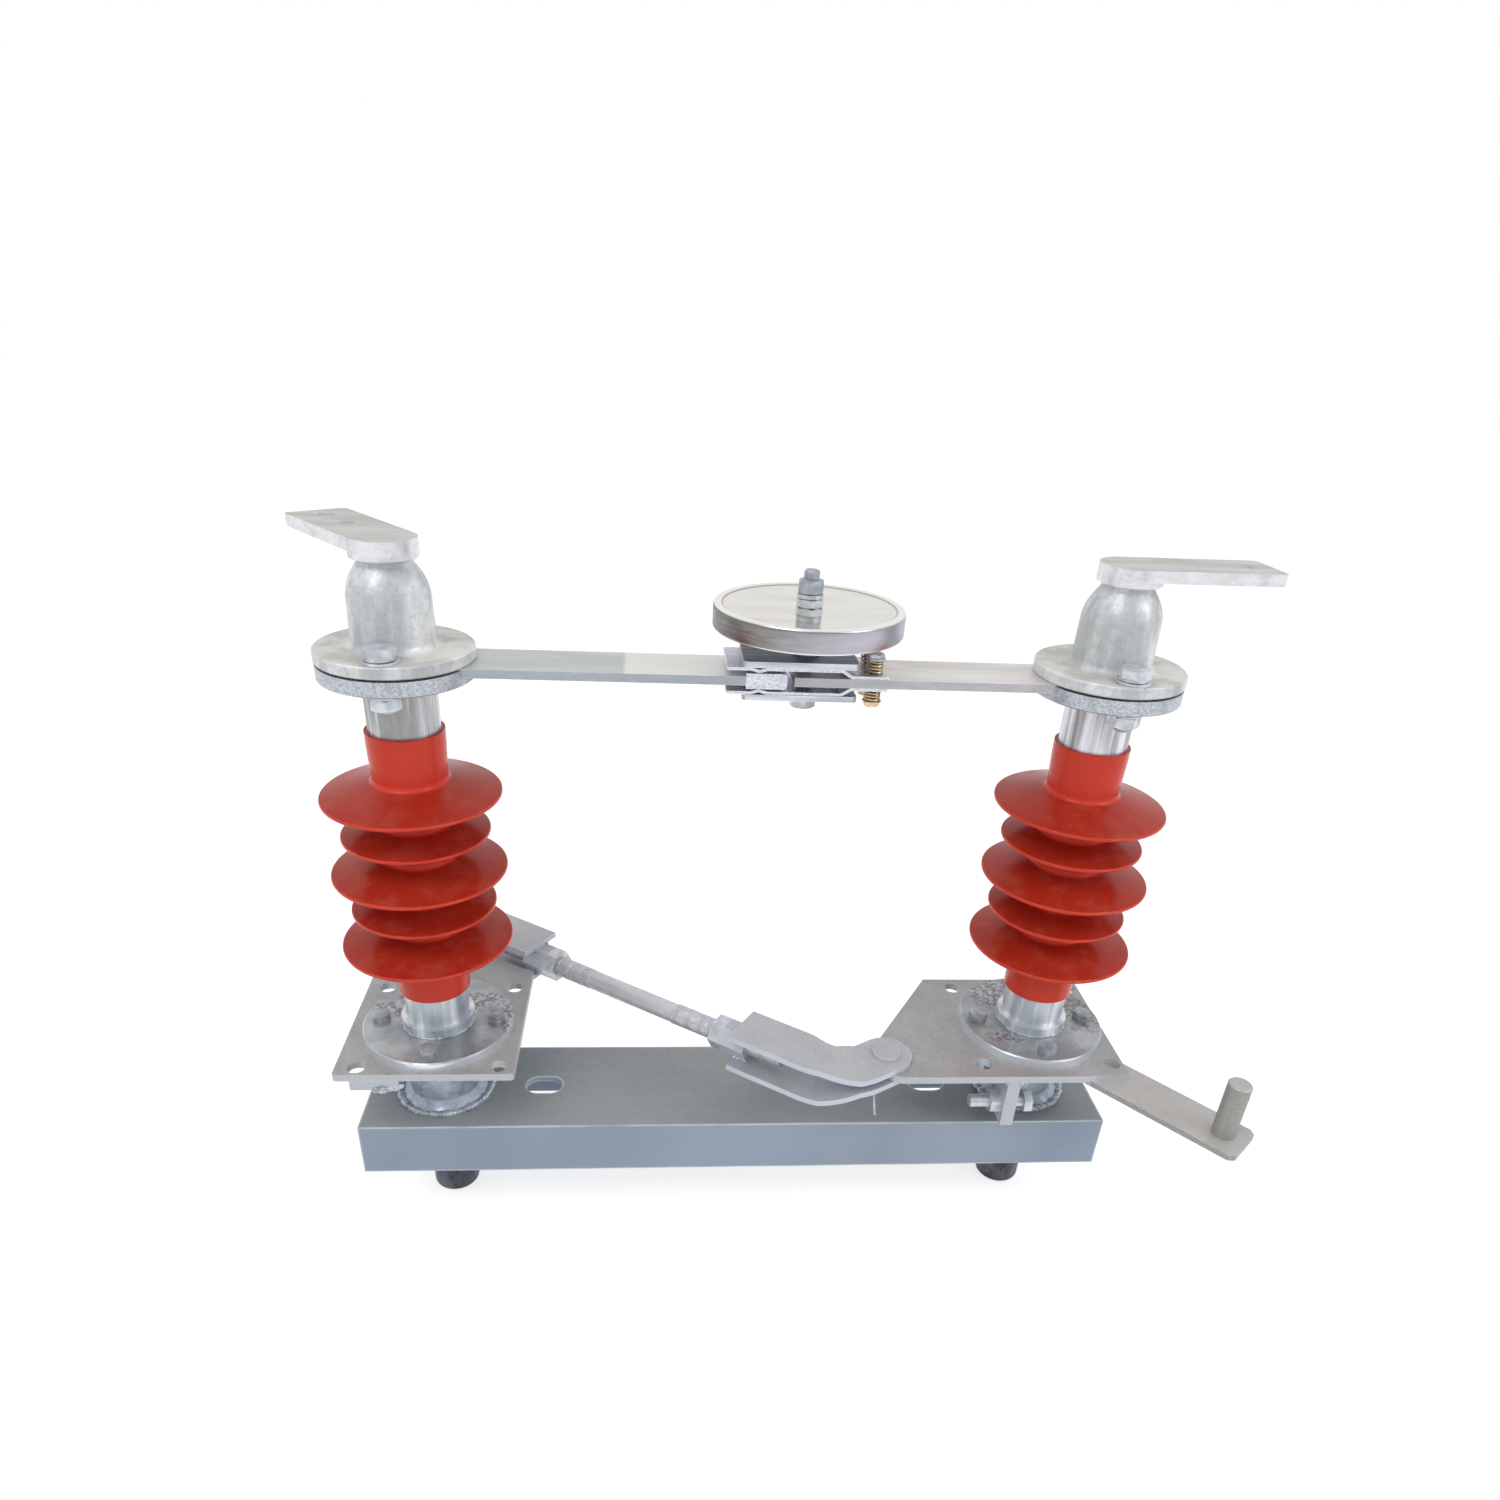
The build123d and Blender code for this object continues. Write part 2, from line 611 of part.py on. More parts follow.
def finger_plate(side):
    """One spring plate, above or below: open mouth, bump on the tip, flat, and heel on the arm."""
    touch = TIP_T / 2 + FINGER_GAP + FINGER_T / 2
    heel = ARM_T / 2 + FINGER_T / 2
    line = [
        (FINGER_MOUTH_X, FINGER_FLAT_Z),
        (FINGER_BUMP_X - FINGER_BUMP_HALF, FINGER_FLAT_Z),
        (FINGER_BUMP_X, touch),
        (FINGER_BUMP_X + FINGER_BUMP_HALF, FINGER_FLAT_Z),
        (FINGER_BEND_X, FINGER_FLAT_Z),
        (FINGER_HEEL_X, heel),
        (FINGER_END_X, heel),
    ]
    line = [(x, ARM_MID + side * z) for x, z in line]
    return contact_bores(bent_sheet(line, FINGER_T, FINGER_BEND_R, FINGER_W))


def finger_springs():
    """The springs that press the fingers on the arm, each as a plain sleeve of its outside size."""
    face = ARM_T / 2 + FINGER_T
    springs = []
    for y in (-FINGER_BOLT_Y, FINGER_BOLT_Y):
        for low in (ARM_MID + face, ARM_MID - face - SPRING_H):
            sleeve = rod(SPRING_R, low, low + SPRING_H, FINGER_BOLT_X, y)
            springs.append(sleeve - rod(FINGER_BOLT_R, low, low + SPRING_H, FINGER_BOLT_X, y))
    return Compound(children=springs)


def finger_bolts():
    """Two bolts through the fingers and the arm, with a head above and a nut below the springs."""
    reach = ARM_T / 2 + FINGER_T + SPRING_H
    bolts = []
    for y in (-FINGER_BOLT_Y, FINGER_BOLT_Y):
        bolt = rod(FINGER_BOLT_R, ARM_MID - reach, ARM_MID + reach, FINGER_BOLT_X, y)
        for low in (ARM_MID + reach, ARM_MID - reach - FINGER_BOLT_HEAD):
            bolt += hexagon(FINGER_BOLT_AF, low, low + FINGER_BOLT_HEAD, FINGER_BOLT_X, y)
        bolts.append(bolt)
    return Compound(children=bolts)


def clamp_plate(side):
    """A stiff plate on the outside of one finger plate, held by the stud."""
    heights = sorted((ARM_MID + side * CLAMP_Z, ARM_MID + side * (CLAMP_Z + CLAMP_T)))
    plate = block(CLAMP_X0, CLAMP_X1, -CLAMP_W / 2, CLAMP_W / 2, *heights)
    plate = chamfer(plate.edges().filter_by(Axis.Z), CLAMP_CORNER)
    return plate - rod(STUD_R, *heights, STUD_X)


def cover_stud():
    """The stud through the right arm's end, with its head below, a washer on the upper clamp plate and
    a nut that carries the cover."""
    low = ARM_MID - CLAMP_Z - CLAMP_T
    high = ARM_MID + CLAMP_Z + CLAMP_T
    under = COVER_TOP_Z - COVER_WALL
    stud = rod(STUD_R, low, COVER_NUTS_TOP + STUD_TIP, STUD_X)
    stud += hexagon(STUD_AF, low - STUD_HEAD_T, low, STUD_X)
    stud += rod(WASHER_R, high, high + WASHER_T, STUD_X)
    return stud + hexagon(STUD_AF, under - NUT_T, under, STUD_X)


def rain_cover():
    """A round dish, open below, with a low bead along the edge of its roof."""
    inside = (COVER_R - COVER_WALL, COVER_TOP_Z - COVER_WALL)
    bead = (COVER_R - COVER_BEAD_W / 2, COVER_TOP_Z + COVER_BEAD_RISE)
    edge = (COVER_R, COVER_TOP_Z + COVER_BEAD_RISE)
    outline = [
        (STUD_R, COVER_TOP_Z - COVER_WALL),
        (STUD_R, COVER_TOP_Z),
        (COVER_R - COVER_BEAD_W, COVER_TOP_Z),
        bead,
        edge,
        (COVER_R, COVER_RIM_Z),
        (COVER_R - COVER_WALL, COVER_RIM_Z),
        inside,
    ]
    return turned(outline, STUD_X, [(COVER_ROUND, [bead, edge, inside])])


def cover_nuts():
    """The thin nut, the spring washer and the nut that hold the cover down."""
    washer_bottom = COVER_TOP_Z + THIN_NUT_T
    washer_top = washer_bottom + SPRING_WASHER_T
    nuts = hexagon(STUD_AF, COVER_TOP_Z, washer_bottom, STUD_X)
    nuts += rod(SPRING_WASHER_R, washer_bottom, washer_top, STUD_X)
    nuts += hexagon(STUD_AF, washer_top, COVER_NUTS_TOP, STUD_X)
    return nuts - rod(STUD_R, COVER_TOP_Z, COVER_NUTS_TOP, STUD_X)


def link_knee():
    """Where the short leg of the right fork meets the rod's line."""
    across = LINK_MID[0] - RIGHT_PIN[0]
    along = LINK_MID[1] - RIGHT_PIN[1]
    ux, uy = cos(radians(LINK_ANGLE)), sin(radians(LINK_ANGLE))
    kx, ky = cos(radians(LINK_KNEE_ANGLE)), sin(radians(LINK_KNEE_ANGLE))
    leg = (across * uy - along * ux) / (kx * uy - ky * ux)
    return (RIGHT_PIN[0] + leg * kx, RIGHT_PIN[1] + leg * ky)


def link_point(distance):
    """A point on the rod's line, so far from the middle of the link towards the right."""
    return (
        LINK_MID[0] + distance * cos(radians(LINK_ANGLE)),
        LINK_MID[1] + distance * sin(radians(LINK_ANGLE)),
    )


def along_link(shape):
    """Turns a piece that stands along Z so that it lies along the rod's line."""
    return Pos(LINK_MID[0], LINK_MID[1], LINK_Z) * Rot(0, 0, LINK_ANGLE) * Rot(0, 90, 0) * shape


def strap(side):
    """One strap of the right fork, above or below the plate, from the crank pin to the rod. Its plan is
    a knee with a round end, and its side is flat on the plate and then steps out to the nut's face."""
    end = link_point(STRAP_END_AT)
    path = FilletPolyline(RIGHT_PIN, link_knee(), end, radius=STRAP_KNEE_R)
    outline = make_face(offset(path, STRAP_W / 2, closed=True))
    plan = Pos(0, 0, LINK_Z - FORK_NUT_AF) * extrude(outline, amount=2 * FORK_NUT_AF)
    beyond = block(-STRAP_W, 0, -STRAP_W, STRAP_W, LINK_Z - FORK_NUT_AF, LINK_Z + FORK_NUT_AF)
    plan -= Pos(*end, 0) * Rot(0, 0, LINK_ANGLE) * beyond
    near = PLATE_T / 2 + PIVOT_GAP + STRAP_T / 2
    far = FORK_NUT_AF / 2 + STRAP_T / 2
    step = RIGHT_PIN[0] - STRAP_FLAT
    line = [
        (RIGHT_PIN[0] + STRAP_W, near),
        (step, near),
        (step - STRAP_RISE_LENGTH, far),
        (end[0] - STRAP_W, far),
    ]
    line = [(x, LINK_Z + side * z) for x, z in line]
    sheet = bent_sheet(line, STRAP_T, STRAP_BEND_R, COLUMN_SPACING)
    bore = rod(CRANK_PIN_R + PIN_GAP, LINK_Z - FORK_NUT_AF, LINK_Z + FORK_NUT_AF, *RIGHT_PIN)
    return (plan & sheet) - bore


def link_fork():
    """The right fork: two straps welded to a nut. The left fork is this one turned half a turn."""
    nut = along_link(hexagon(FORK_NUT_AF, FORK_NUT_AT, FORK_NUT_AT + FORK_NUT_L, turn=30))
    nut -= along_link(rod(ROD_R, FORK_NUT_AT, FORK_NUT_AT + FORK_NUT_L))
    return strap(1) + strap(-1) + nut


def half_turn(shape):
    """Turns a piece half a turn about the middle of the link."""
    place = Pos(LINK_MID[0], LINK_MID[1], 0)
    return place * Rot(0, 0, 180) * Pos(-LINK_MID[0], -LINK_MID[1], 0) * shape


def link_rod():
    """The rod ends just short of the left lock nut, where the closed linkage is parted."""
    return along_link(rod(ROD_R, LOCK_NUT_L + LINK_PARTING - FORK_NUT_AT, ROD_END_AT))


def link_rod_end():
    """The threaded stretch of the rod in the left lock nut and the left fork."""
    return along_link(rod(ROD_R, -ROD_END_AT, LOCK_NUT_L - FORK_NUT_AT))


def lock_nut(start):
    nut = hexagon(FORK_NUT_AF, start, start + LOCK_NUT_L, turn=30)
    return along_link(nut - rod(ROD_R, start, start + LOCK_NUT_L))


os.makedirs("parts", exist_ok=True)

save("base_channel", base_channel())
for side_name, axis_x, inward in (("left", LEFT_X, 1), ("right", RIGHT_X, -1)):
    save(f"{side_name}_bearing_housing", bearing_housing(axis_x))
    save(f"{side_name}_bearing_cap", bearing_cap(axis_x))
    save(f"{side_name}_shaft", column_shaft(axis_x))
    save(f"{side_name}_bottom_flange", bottom_flange(axis_x))
    save(f"{side_name}_flange_bolts", flange_bolts(axis_x))
    save(f"{side_name}_insulator", insulator(axis_x))
    save(f"{side_name}_top_fitting", top_fitting(axis_x, inward))
    save(f"{side_name}_terminal_housing", terminal_housing(axis_x))
    save(f"{side_name}_head_bolts", head_bolts(axis_x))

save("right_crank_plate", Pos(RIGHT_X, 0, 0) * crank_plate())
save("left_crank_plate", Pos(LEFT_X, 0, 0) * Rot(0, 0, -90) * crank_plate())
save("right_crank_pin", crank_pin(RIGHT_PIN))
save("left_crank_pin", crank_pin(LEFT_PIN))
save("operating_lever", operating_lever())
save("lever_pin", lever_pin())
save("stop_tab", stop_tab())
save("stop_screw", stop_screw())
save("left_stop_bar", left_stop_bar())

save("left_terminal", terminal(LEFT_X, LEFT_TERMINAL_ANGLE))
save("right_terminal", terminal(RIGHT_X, RIGHT_TERMINAL_ANGLE))
save("left_arm", flat_arm(LEFT_X - ARM_TAIL, TIP_X0))
save("right_arm", contact_bores(flat_arm(RIGHT_ARM_END, RIGHT_X + ARM_TAIL)))
save("contact_tip", contact_tip())
save("upper_fingers", finger_plate(1))
save("lower_fingers", finger_plate(-1))
save("finger_springs", finger_springs())
save("finger_bolts", finger_bolts())
save("upper_clamp_plate", clamp_plate(1))
save("lower_clamp_plate", clamp_plate(-1))
save("cover_stud", cover_stud())
save("rain_cover", rain_cover())
save("cover_nuts", cover_nuts())

save("link_right_fork", link_fork())
save("link_left_fork", half_turn(link_fork()))
save("link_rod", link_rod())
save("link_rod_end", link_rod_end())
save("right_lock_nut", lock_nut(FORK_NUT_AT - LOCK_NUT_L))
save("left_lock_nut", lock_nut(-FORK_NUT_AT))
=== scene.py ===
import math

import bmesh
import bpy
from mathutils import Matrix, Vector


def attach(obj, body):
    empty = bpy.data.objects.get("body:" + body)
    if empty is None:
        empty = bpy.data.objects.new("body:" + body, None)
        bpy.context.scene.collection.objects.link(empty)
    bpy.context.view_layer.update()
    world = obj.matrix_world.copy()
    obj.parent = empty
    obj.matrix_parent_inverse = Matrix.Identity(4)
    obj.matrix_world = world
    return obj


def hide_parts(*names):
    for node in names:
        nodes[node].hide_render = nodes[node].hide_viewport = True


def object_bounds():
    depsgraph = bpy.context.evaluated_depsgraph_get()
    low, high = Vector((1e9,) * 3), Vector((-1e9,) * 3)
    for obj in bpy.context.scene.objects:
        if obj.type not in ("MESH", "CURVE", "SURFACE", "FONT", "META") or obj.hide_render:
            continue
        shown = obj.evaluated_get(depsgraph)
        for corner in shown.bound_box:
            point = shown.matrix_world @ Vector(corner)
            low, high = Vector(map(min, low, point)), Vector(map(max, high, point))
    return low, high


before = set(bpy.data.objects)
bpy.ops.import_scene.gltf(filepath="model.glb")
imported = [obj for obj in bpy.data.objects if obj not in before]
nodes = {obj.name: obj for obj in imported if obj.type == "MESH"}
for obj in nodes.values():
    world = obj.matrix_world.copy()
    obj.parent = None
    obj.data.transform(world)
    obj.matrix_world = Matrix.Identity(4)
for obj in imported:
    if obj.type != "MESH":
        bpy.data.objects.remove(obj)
cad_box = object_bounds()

MM = 0.001

# Where the pieces of the switch are, in millimetres
SIDES = (("left", -240), ("right", 240))
STUD_X = 28.6
HEAD_BOLT_Y = -38.6
FLANGE_BOLT_X = 44.5
FIRST_SPRING = Vector((74, -12, 0))
SPRING_STEP = Vector((0, 24, 0))
LINK_MID = Vector((-86.5, 42.5, 63.8))
LINK_TURN = Matrix.Rotation(math.radians(-35.0), 4, "Z") @ Matrix.Rotation(math.radians(90.0), 4, "Y")


# Small helpers for node trees. A colour is three numbers from 0 to 255, as it is seen
def linear(colour):
    """A seen colour as the linear one that a shader needs."""
    parts = [part / 255 for part in colour]
    return (*(part / 12.92 if part <= 0.04045 else ((part + 0.055) / 1.055) ** 2.4 for part in parts), 1.0)


def feed(tree, node, inputs):
    """Give sockets a plain value or another node's output."""
    for name, value in inputs.items():
        if isinstance(value, bpy.types.NodeSocket):
            tree.links.new(value, node.inputs[name])
        else:
            node.inputs[name].default_value = value


def place(tree, kind, inputs=None, **settings):
    """Add one node with its settings and inputs."""
    node = tree.nodes.new(kind)
    for name, value in settings.items():
        setattr(node, name, value)
    feed(tree, node, inputs or {})
    return node


def make(tree, kind, inputs=None, **settings):
    """Add one node and return its first output."""
    return place(tree, kind, inputs, **settings).outputs[0]


def use(tree, group, **inputs):
    """Place an effect with its own values and return what it puts out."""
    node = place(tree, "ShaderNodeGroup", node_tree=group)
    feed(tree, node, {name.replace("_", " "): value for name, value in inputs.items()})
    return node.outputs[0]


def blend(tree, share, first, second):
    """Mix two colours by a share."""
    first, second = (linear(tone) if isinstance(tone, tuple) else tone for tone in (first, second))
    return place(tree, "ShaderNodeMix", {0: share, 6: first, 7: second}, data_type="RGBA").outputs[2]


def calc(tree, operation, first, second=0.0, clamp=False):
    return make(tree, "ShaderNodeMath", {0: first, 1: second}, operation=operation, use_clamp=clamp)


def times(tree, first, second):
    return calc(tree, "MULTIPLY", first, second)


def vectors(tree, operation, *inputs, output=0):
    return place(tree, "ShaderNodeVectorMath", dict(enumerate(inputs)), operation=operation).outputs[output]


def ramp(tree, value, low, high, to_low=0.0, to_high=1.0):
    """Map a value from low..high to another span, smoothly and clamped."""
    inputs = {"Value": value, "From Min": low, "From Max": high, "To Min": to_low, "To Max": to_high}
    return make(tree, "ShaderNodeMapRange", inputs, interpolation_type="SMOOTHSTEP")


def span(tree, mask, at_none, at_full):
    """A value that goes with a mask from one end to the other."""
    return ramp(tree, mask, 0.0, 1.0, at_none, at_full)


def axis_of(tree, vector, axis):
    return place(tree, "ShaderNodeSeparateXYZ", {0: vector}).outputs[axis]


def object_spot(tree, stretch=None):
    """Where a point is on the object, stretched along any axis."""
    spot = place(tree, "ShaderNodeTexCoord").outputs["Object"]
    if stretch is None:
        return spot
    return make(tree, "ShaderNodeMapping", {"Vector": spot, "Scale": stretch})


def noise(tree, spot, scale, detail, output="Fac", **more):
    inputs = {"Vector": spot, "Scale": scale, "Detail": detail, **more}
    return place(tree, "ShaderNodeTexNoise", inputs).outputs[output]


SOCKETS = {float: "NodeSocketFloat", int: "NodeSocketInt", tuple: "NodeSocketVector"}


def add_inputs(group, inputs):
    """Give a node group named inputs, each of the kind that its value has."""
    for label, value in inputs.items():
        socket = group.interface.new_socket(label, in_out="INPUT", socket_type=SOCKETS[type(value)])
        socket.default_value = value


def effect(name, inputs, output):
    """Start a shader node group with named inputs and one output."""
    group = bpy.data.node_groups.new(name, "ShaderNodeTree")
    add_inputs(group, inputs)
    group.interface.new_socket(output, in_out="OUTPUT", socket_type="NodeSocketFloat")
    return group, group.nodes.new("NodeGroupInput").outputs


def end_effect(group, value):
    group.links.new(value, group.nodes.new("NodeGroupOutput").inputs[0])
    return group


# Effects that several finishes share
def make_patches():
    """Soft uneven patches, stretched along any axis."""
    inputs = {"Scale": 40.0, "Stretch": (1, 1, 1), "Detail": 4.0, "Low": 0.4, "High": 0.6}
    group, given = effect("patches", inputs, "Mask")
    cloud = noise(group, object_spot(group, given["Stretch"]), given["Scale"], given["Detail"], Roughness=0.6)
    return end_effect(group, ramp(group, cloud, given["Low"], given["High"]))


def make_specks():
    """Small scattered spots of dirt, pits or bare metal."""
    group, given = effect("specks", {"Scale": 400.0, "Amount": 0.2, "Size": 0.3}, "Mask")
    inputs = {"Vector": object_spot(group), "Scale": given["Scale"], "Randomness": 1.0}
    cells = place(group, "ShaderNodeTexVoronoi", inputs).outputs
    inputs = {"Value": cells["Distance"], "From Min": given["Size"], "From Max": 0.05}
    near = make(group, "ShaderNodeMapRange", inputs)
    picked = make(group, "ShaderNodeSeparateColor", {"Color": cells["Color"]})
    chosen = calc(group, "LESS_THAN", picked, given["Amount"])
    return end_effect(group, calc(group, "MULTIPLY", near, chosen, clamp=True))


def make_edge_wear_and_highlight():
    """A broken light line where two faces of a piece meet: worn metal and a painted highlight."""
    group, given = effect("edge_wear_and_highlight", {"Width": 0.0012, "Breakup": 90.0, "Amount": 1.0}, "Mask")
    # The light edge line stands for wear and for a painted highlight.
    rounded = make(group, "ShaderNodeBevel", {"Radius": given["Width"]}, samples=6)
    flat = place(group, "ShaderNodeNewGeometry").outputs["Normal"]
    likeness = vectors(group, "DOT_PRODUCT", rounded, flat, output="Value")
    line = ramp(group, calc(group, "SUBTRACT", 1.0, likeness), 0.02, 0.22)
    grain = noise(group, object_spot(group), given["Breakup"], 5.0, Roughness=0.65)
    broken = times(group, line, ramp(group, grain, 0.32, 0.6, 0.25, 1.0))
    return end_effect(group, calc(group, "MULTIPLY", broken, given["Amount"], clamp=True))


def make_skin():
    """Height of a lumpy skin: broad waves, fine grain and pits."""
    inputs = {"Wave Scale": 60.0, "Waves": 0.5, "Grain Scale": 900.0, "Grain": 0.5, "Stretch": (1, 1, 1)}
    group, given = effect("skin", inputs, "Height")
    spot = object_spot(group, given["Stretch"])
    broad = times(group, noise(group, spot, given["Wave Scale"], 3), given["Waves"])
    fine = times(group, noise(group, spot, given["Grain Scale"], 4), given["Grain"])
    return end_effect(group, calc(group, "ADD", broad, fine))


def make_spangle():
    """The patchwork of zinc crystals on a galvanised face."""
    group, given = effect("spangle", {"Scale": 160.0, "Contrast": 1.0}, "Tone")
    spot = object_spot(group)
    bent = noise(group, spot, 120.0, 2.0, output="Color")
    pushed = vectors(group, "MULTIPLY_ADD", bent, (0.006, 0.006, 0.006), spot)
    cells = place(group, "ShaderNodeTexVoronoi", {"Vector": pushed, "Scale": given["Scale"]})
    tone = make(group, "ShaderNodeSeparateColor", {"Color": cells.outputs["Color"]})
    centred = times(group, calc(group, "SUBTRACT", tone, 0.5), given["Contrast"])
    return end_effect(group, calc(group, "ADD", centred, 0.5, clamp=True))


def make_upward():
    """How far a face looks up: 1 on a top face, 0 on a side."""
    group, given = effect("upward", {"Low": 0.4, "High": 0.8}, "Mask")
    height = axis_of(group, place(group, "ShaderNodeNewGeometry").outputs["Normal"], "Z")
    return end_effect(group, ramp(group, height, given["Low"], given["High"]))


patches = make_patches()
specks = make_specks()
edge_wear_and_highlight = make_edge_wear_and_highlight()
skin = make_skin()
spangle = make_spangle()
upward = make_upward()


# What the finishes are put together from
def bare_tree(owner):
    """The empty node tree of a material or a world."""
    owner.use_nodes = True
    owner.node_tree.nodes.clear()
    return owner.node_tree


def start_finish(name):
    material = bpy.data.materials.new(name)
    tree = bare_tree(material)
    shader = place(tree, "ShaderNodeBsdfPrincipled")
    place(tree, "ShaderNodeOutputMaterial", {"Surface": shader.outputs[0]})
    return material, tree


def dress(material, colour, rough, metal, bump, **more):
    """Give the surface its values and return the finish."""
    values = {"Base Color": colour, "Roughness": rough, "Metallic": metal, "Normal": bump, **more}
    feed(material.node_tree, material.node_tree.nodes["Principled BSDF"], values)
    return material


def layer(tree, colour, tone, share, group, **values):
    """Lay a tone over a colour through an effect's mask, at a share of its strength."""
    return blend(tree, times(tree, use(tree, group, **values), share), colour, tone)


def edged(tree, colour, tone, width, breakup, amount):
    """Lay a tone over the edges: worn metal and a painted highlight."""
    return blend(tree, use(tree, edge_wear_and_highlight, Width=width, Breakup=breakup, Amount=amount), colour, tone)


def relief(tree, height, depth, strength):
    """A bump from a height; depth is in metres."""
    return make(tree, "ShaderNodeBump", {"Height": height, "Distance": depth, "Strength": strength})


def lumpy(tree, waves, grain, depth, strength, stretch=(1, 1, 1), pits=None):
    """A bump of waves and grain, each a scale and an amount, less the pits."""
    height = use(
        tree, skin, Wave_Scale=waves[0], Waves=waves[1], Grain_Scale=grain[0], Grain=grain[1], Stretch=stretch)
    if pits is not None:
        height = calc(tree, "SUBTRACT", height, pits)
    return relief(tree, height, depth, strength)


# Finishes
def make_silver_paint(name, face, shade, side, wear_and_highlight, roughness):
    """Aluminium paint: clouds, fine flakes, dark specks, worn edges with a painted highlight, and its own tone
    on upright faces, painted lighter or darker than the tops as painted light.
    """
    material, tree = start_finish(name)
    cloud = use(tree, patches, Scale=24, Detail=6, Low=0.3, High=0.72)
    colour = blend(tree, cloud, shade, face)
    # Upright faces painted lighter or darker than the tops: painted light.
    colour = blend(tree, use(tree, upward), side, colour)
    colour = layer(tree, colour, wear_and_highlight, 0.16, patches, Scale=650, Detail=3, Low=0.36, High=0.66)
    colour = layer(tree, colour, (96, 92, 86), 0.5, specks, Scale=300, Amount=0.08, Size=0.26)
    colour = edged(tree, colour, wear_and_highlight, 0.0011, 70, 0.8)
    rough = span(tree, cloud, roughness + 0.06, roughness - 0.04)
    return dress(material, colour, rough, 0.25, lumpy(tree, (45, 0.6), (850, 0.25), 0.0007, 0.4))


def make_base_paint():
    """Grey paint of the channel, dull on top with faint brush lines; the top painted darker and the flanges
    bluish and lighter as painted light, with a painted highlight along its edges.
    """
    material, tree = start_finish("base_grey_paint")
    # The top is painted darker and the flanges bluish and lighter: painted light.
    top = use(tree, upward, Low=0.55, High=0.9)
    along = use(tree, patches, Scale=90, Stretch=(0.07, 2.4, 1), Detail=5, Low=0.28, High=0.74)
    soft = use(tree, patches, Scale=7, Stretch=(1, 1, 0.5), Detail=2, Low=0.34, High=0.66)
    worn = use(tree, patches, Scale=21, Stretch=(0.5, 1.2, 1), Detail=7, Low=0.5, High=0.78)
    roof = blend(tree, along, (149, 154, 157), (152, 157, 159))
    roof = blend(tree, times(tree, worn, 0.3), roof, (164, 168, 169))
    roof = blend(tree, times(tree, soft, 0.45), roof, (132, 141, 148))
    roof = layer(tree, roof, (188, 192, 194), 0.14, patches, Scale=480, Detail=3, Low=0.34, High=0.66)
    side = blend(tree, soft, (146, 161, 180), (159, 173, 191))
    side = blend(tree, times(tree, worn, 0.3), side, (138, 150, 166))
    colour = blend(tree, top, side, roof)
    colour = layer(tree, colour, (92, 94, 98), 0.5, specks, Scale=230, Amount=0.05, Size=0.22)
    # A painted highlight along the channel's edges.
    colour = edged(tree, colour, (244, 248, 252), 0.0034, 12, 1.0)
    bump = lumpy(tree, (22, 0.6), (620, 0.25), 0.0007, 0.35)
    return dress(material, colour, span(tree, along, 0.48, 0.43), 0.15, bump)


def make_housing_zinc():
    """Hot-dip zinc: crystals, cloudy runs and a few brownish patches."""
    material, tree = start_finish("housing_zinc")
    light = (206, 216, 228)
    dark = (162, 174, 190)
    colour = blend(tree, use(tree, spangle, Scale=190, Contrast=0.8), dark, light)
    runs = use(tree, patches, Scale=48, Detail=6, Low=0.42, High=0.62)
    colour = blend(tree, times(tree, runs, 0.55), colour, dark)
    colour = layer(tree, colour, (120, 110, 104), 0.2, patches, Scale=67.2, Detail=7, Low=0.55, High=0.68)
    colour = layer(tree, colour, light, 0.5, specks, Scale=360, Amount=0.3, Size=0.3)
    colour = edged(tree, colour, (236, 239, 242), 0.001, 120, 0.8)
    bump = lumpy(tree, (90, 0.8), (800, 0.12), 0.0007, 0.5)
    return dress(material, colour, span(tree, runs, 0.34, 0.46), 0.5, bump)


def make_flange_zinc():
    """Bottom flange: smooth bright zinc, mottled purple-brown in places, the purple-brown a painted reflection
    of the red sheds; its upright rim painted bright as painted light, and a collar with upright streaks of
    painted reflection.
    """
    material, tree = start_finish("mottled_flange_zinc")
    cloud = use(tree, patches, Scale=30, Detail=3, Low=0.35, High=0.68)
    face = blend(tree, cloud, (150, 156, 159), (188, 194, 197))
    area = use(tree, patches, Scale=15, Detail=3, Low=0.48, High=0.54)
    net = use(tree, patches, Scale=330, Detail=4, Low=0.42, High=0.6)
    mottle = times(tree, times(tree, area, net), 0.7)
    # The spots are real; their purple-brown colour is a painted reflection of the red sheds.
    face = blend(tree, mottle, face, (104, 82, 92))
    face = layer(tree, face, (126, 82, 86), 0.7, specks, Scale=300, Amount=0.07, Size=0.3)
    # Upright faces painted bright: painted light.
    face = blend(tree, use(tree, upward), (228, 233, 240), face)
    # Upright streaks on the collar: painted reflection.
    streaks = use(tree, patches, Scale=70, Stretch=(1, 1, 0.05), Detail=4, Low=0.38, High=0.62)
    tube = blend(tree, streaks, (188, 198, 208), (244, 248, 253))
    collar = ramp(tree, axis_of(tree, object_spot(tree), "Z"), 0.0740, 0.0744)
    colour = edged(tree, blend(tree, collar, face, tube), (240, 243, 246), 0.0012, 60, 0.95)
    rough = calc(tree, "ADD", span(tree, cloud, 0.36, 0.28), times(tree, mottle, 0.2))
    bump = lumpy(tree, (70, 0.9), (500, 0.05), 0.0005, 0.4, pits=times(tree, mottle, 0.5))
    return dress(material, colour, rough, span(tree, collar, 0.7, 0.55), bump)


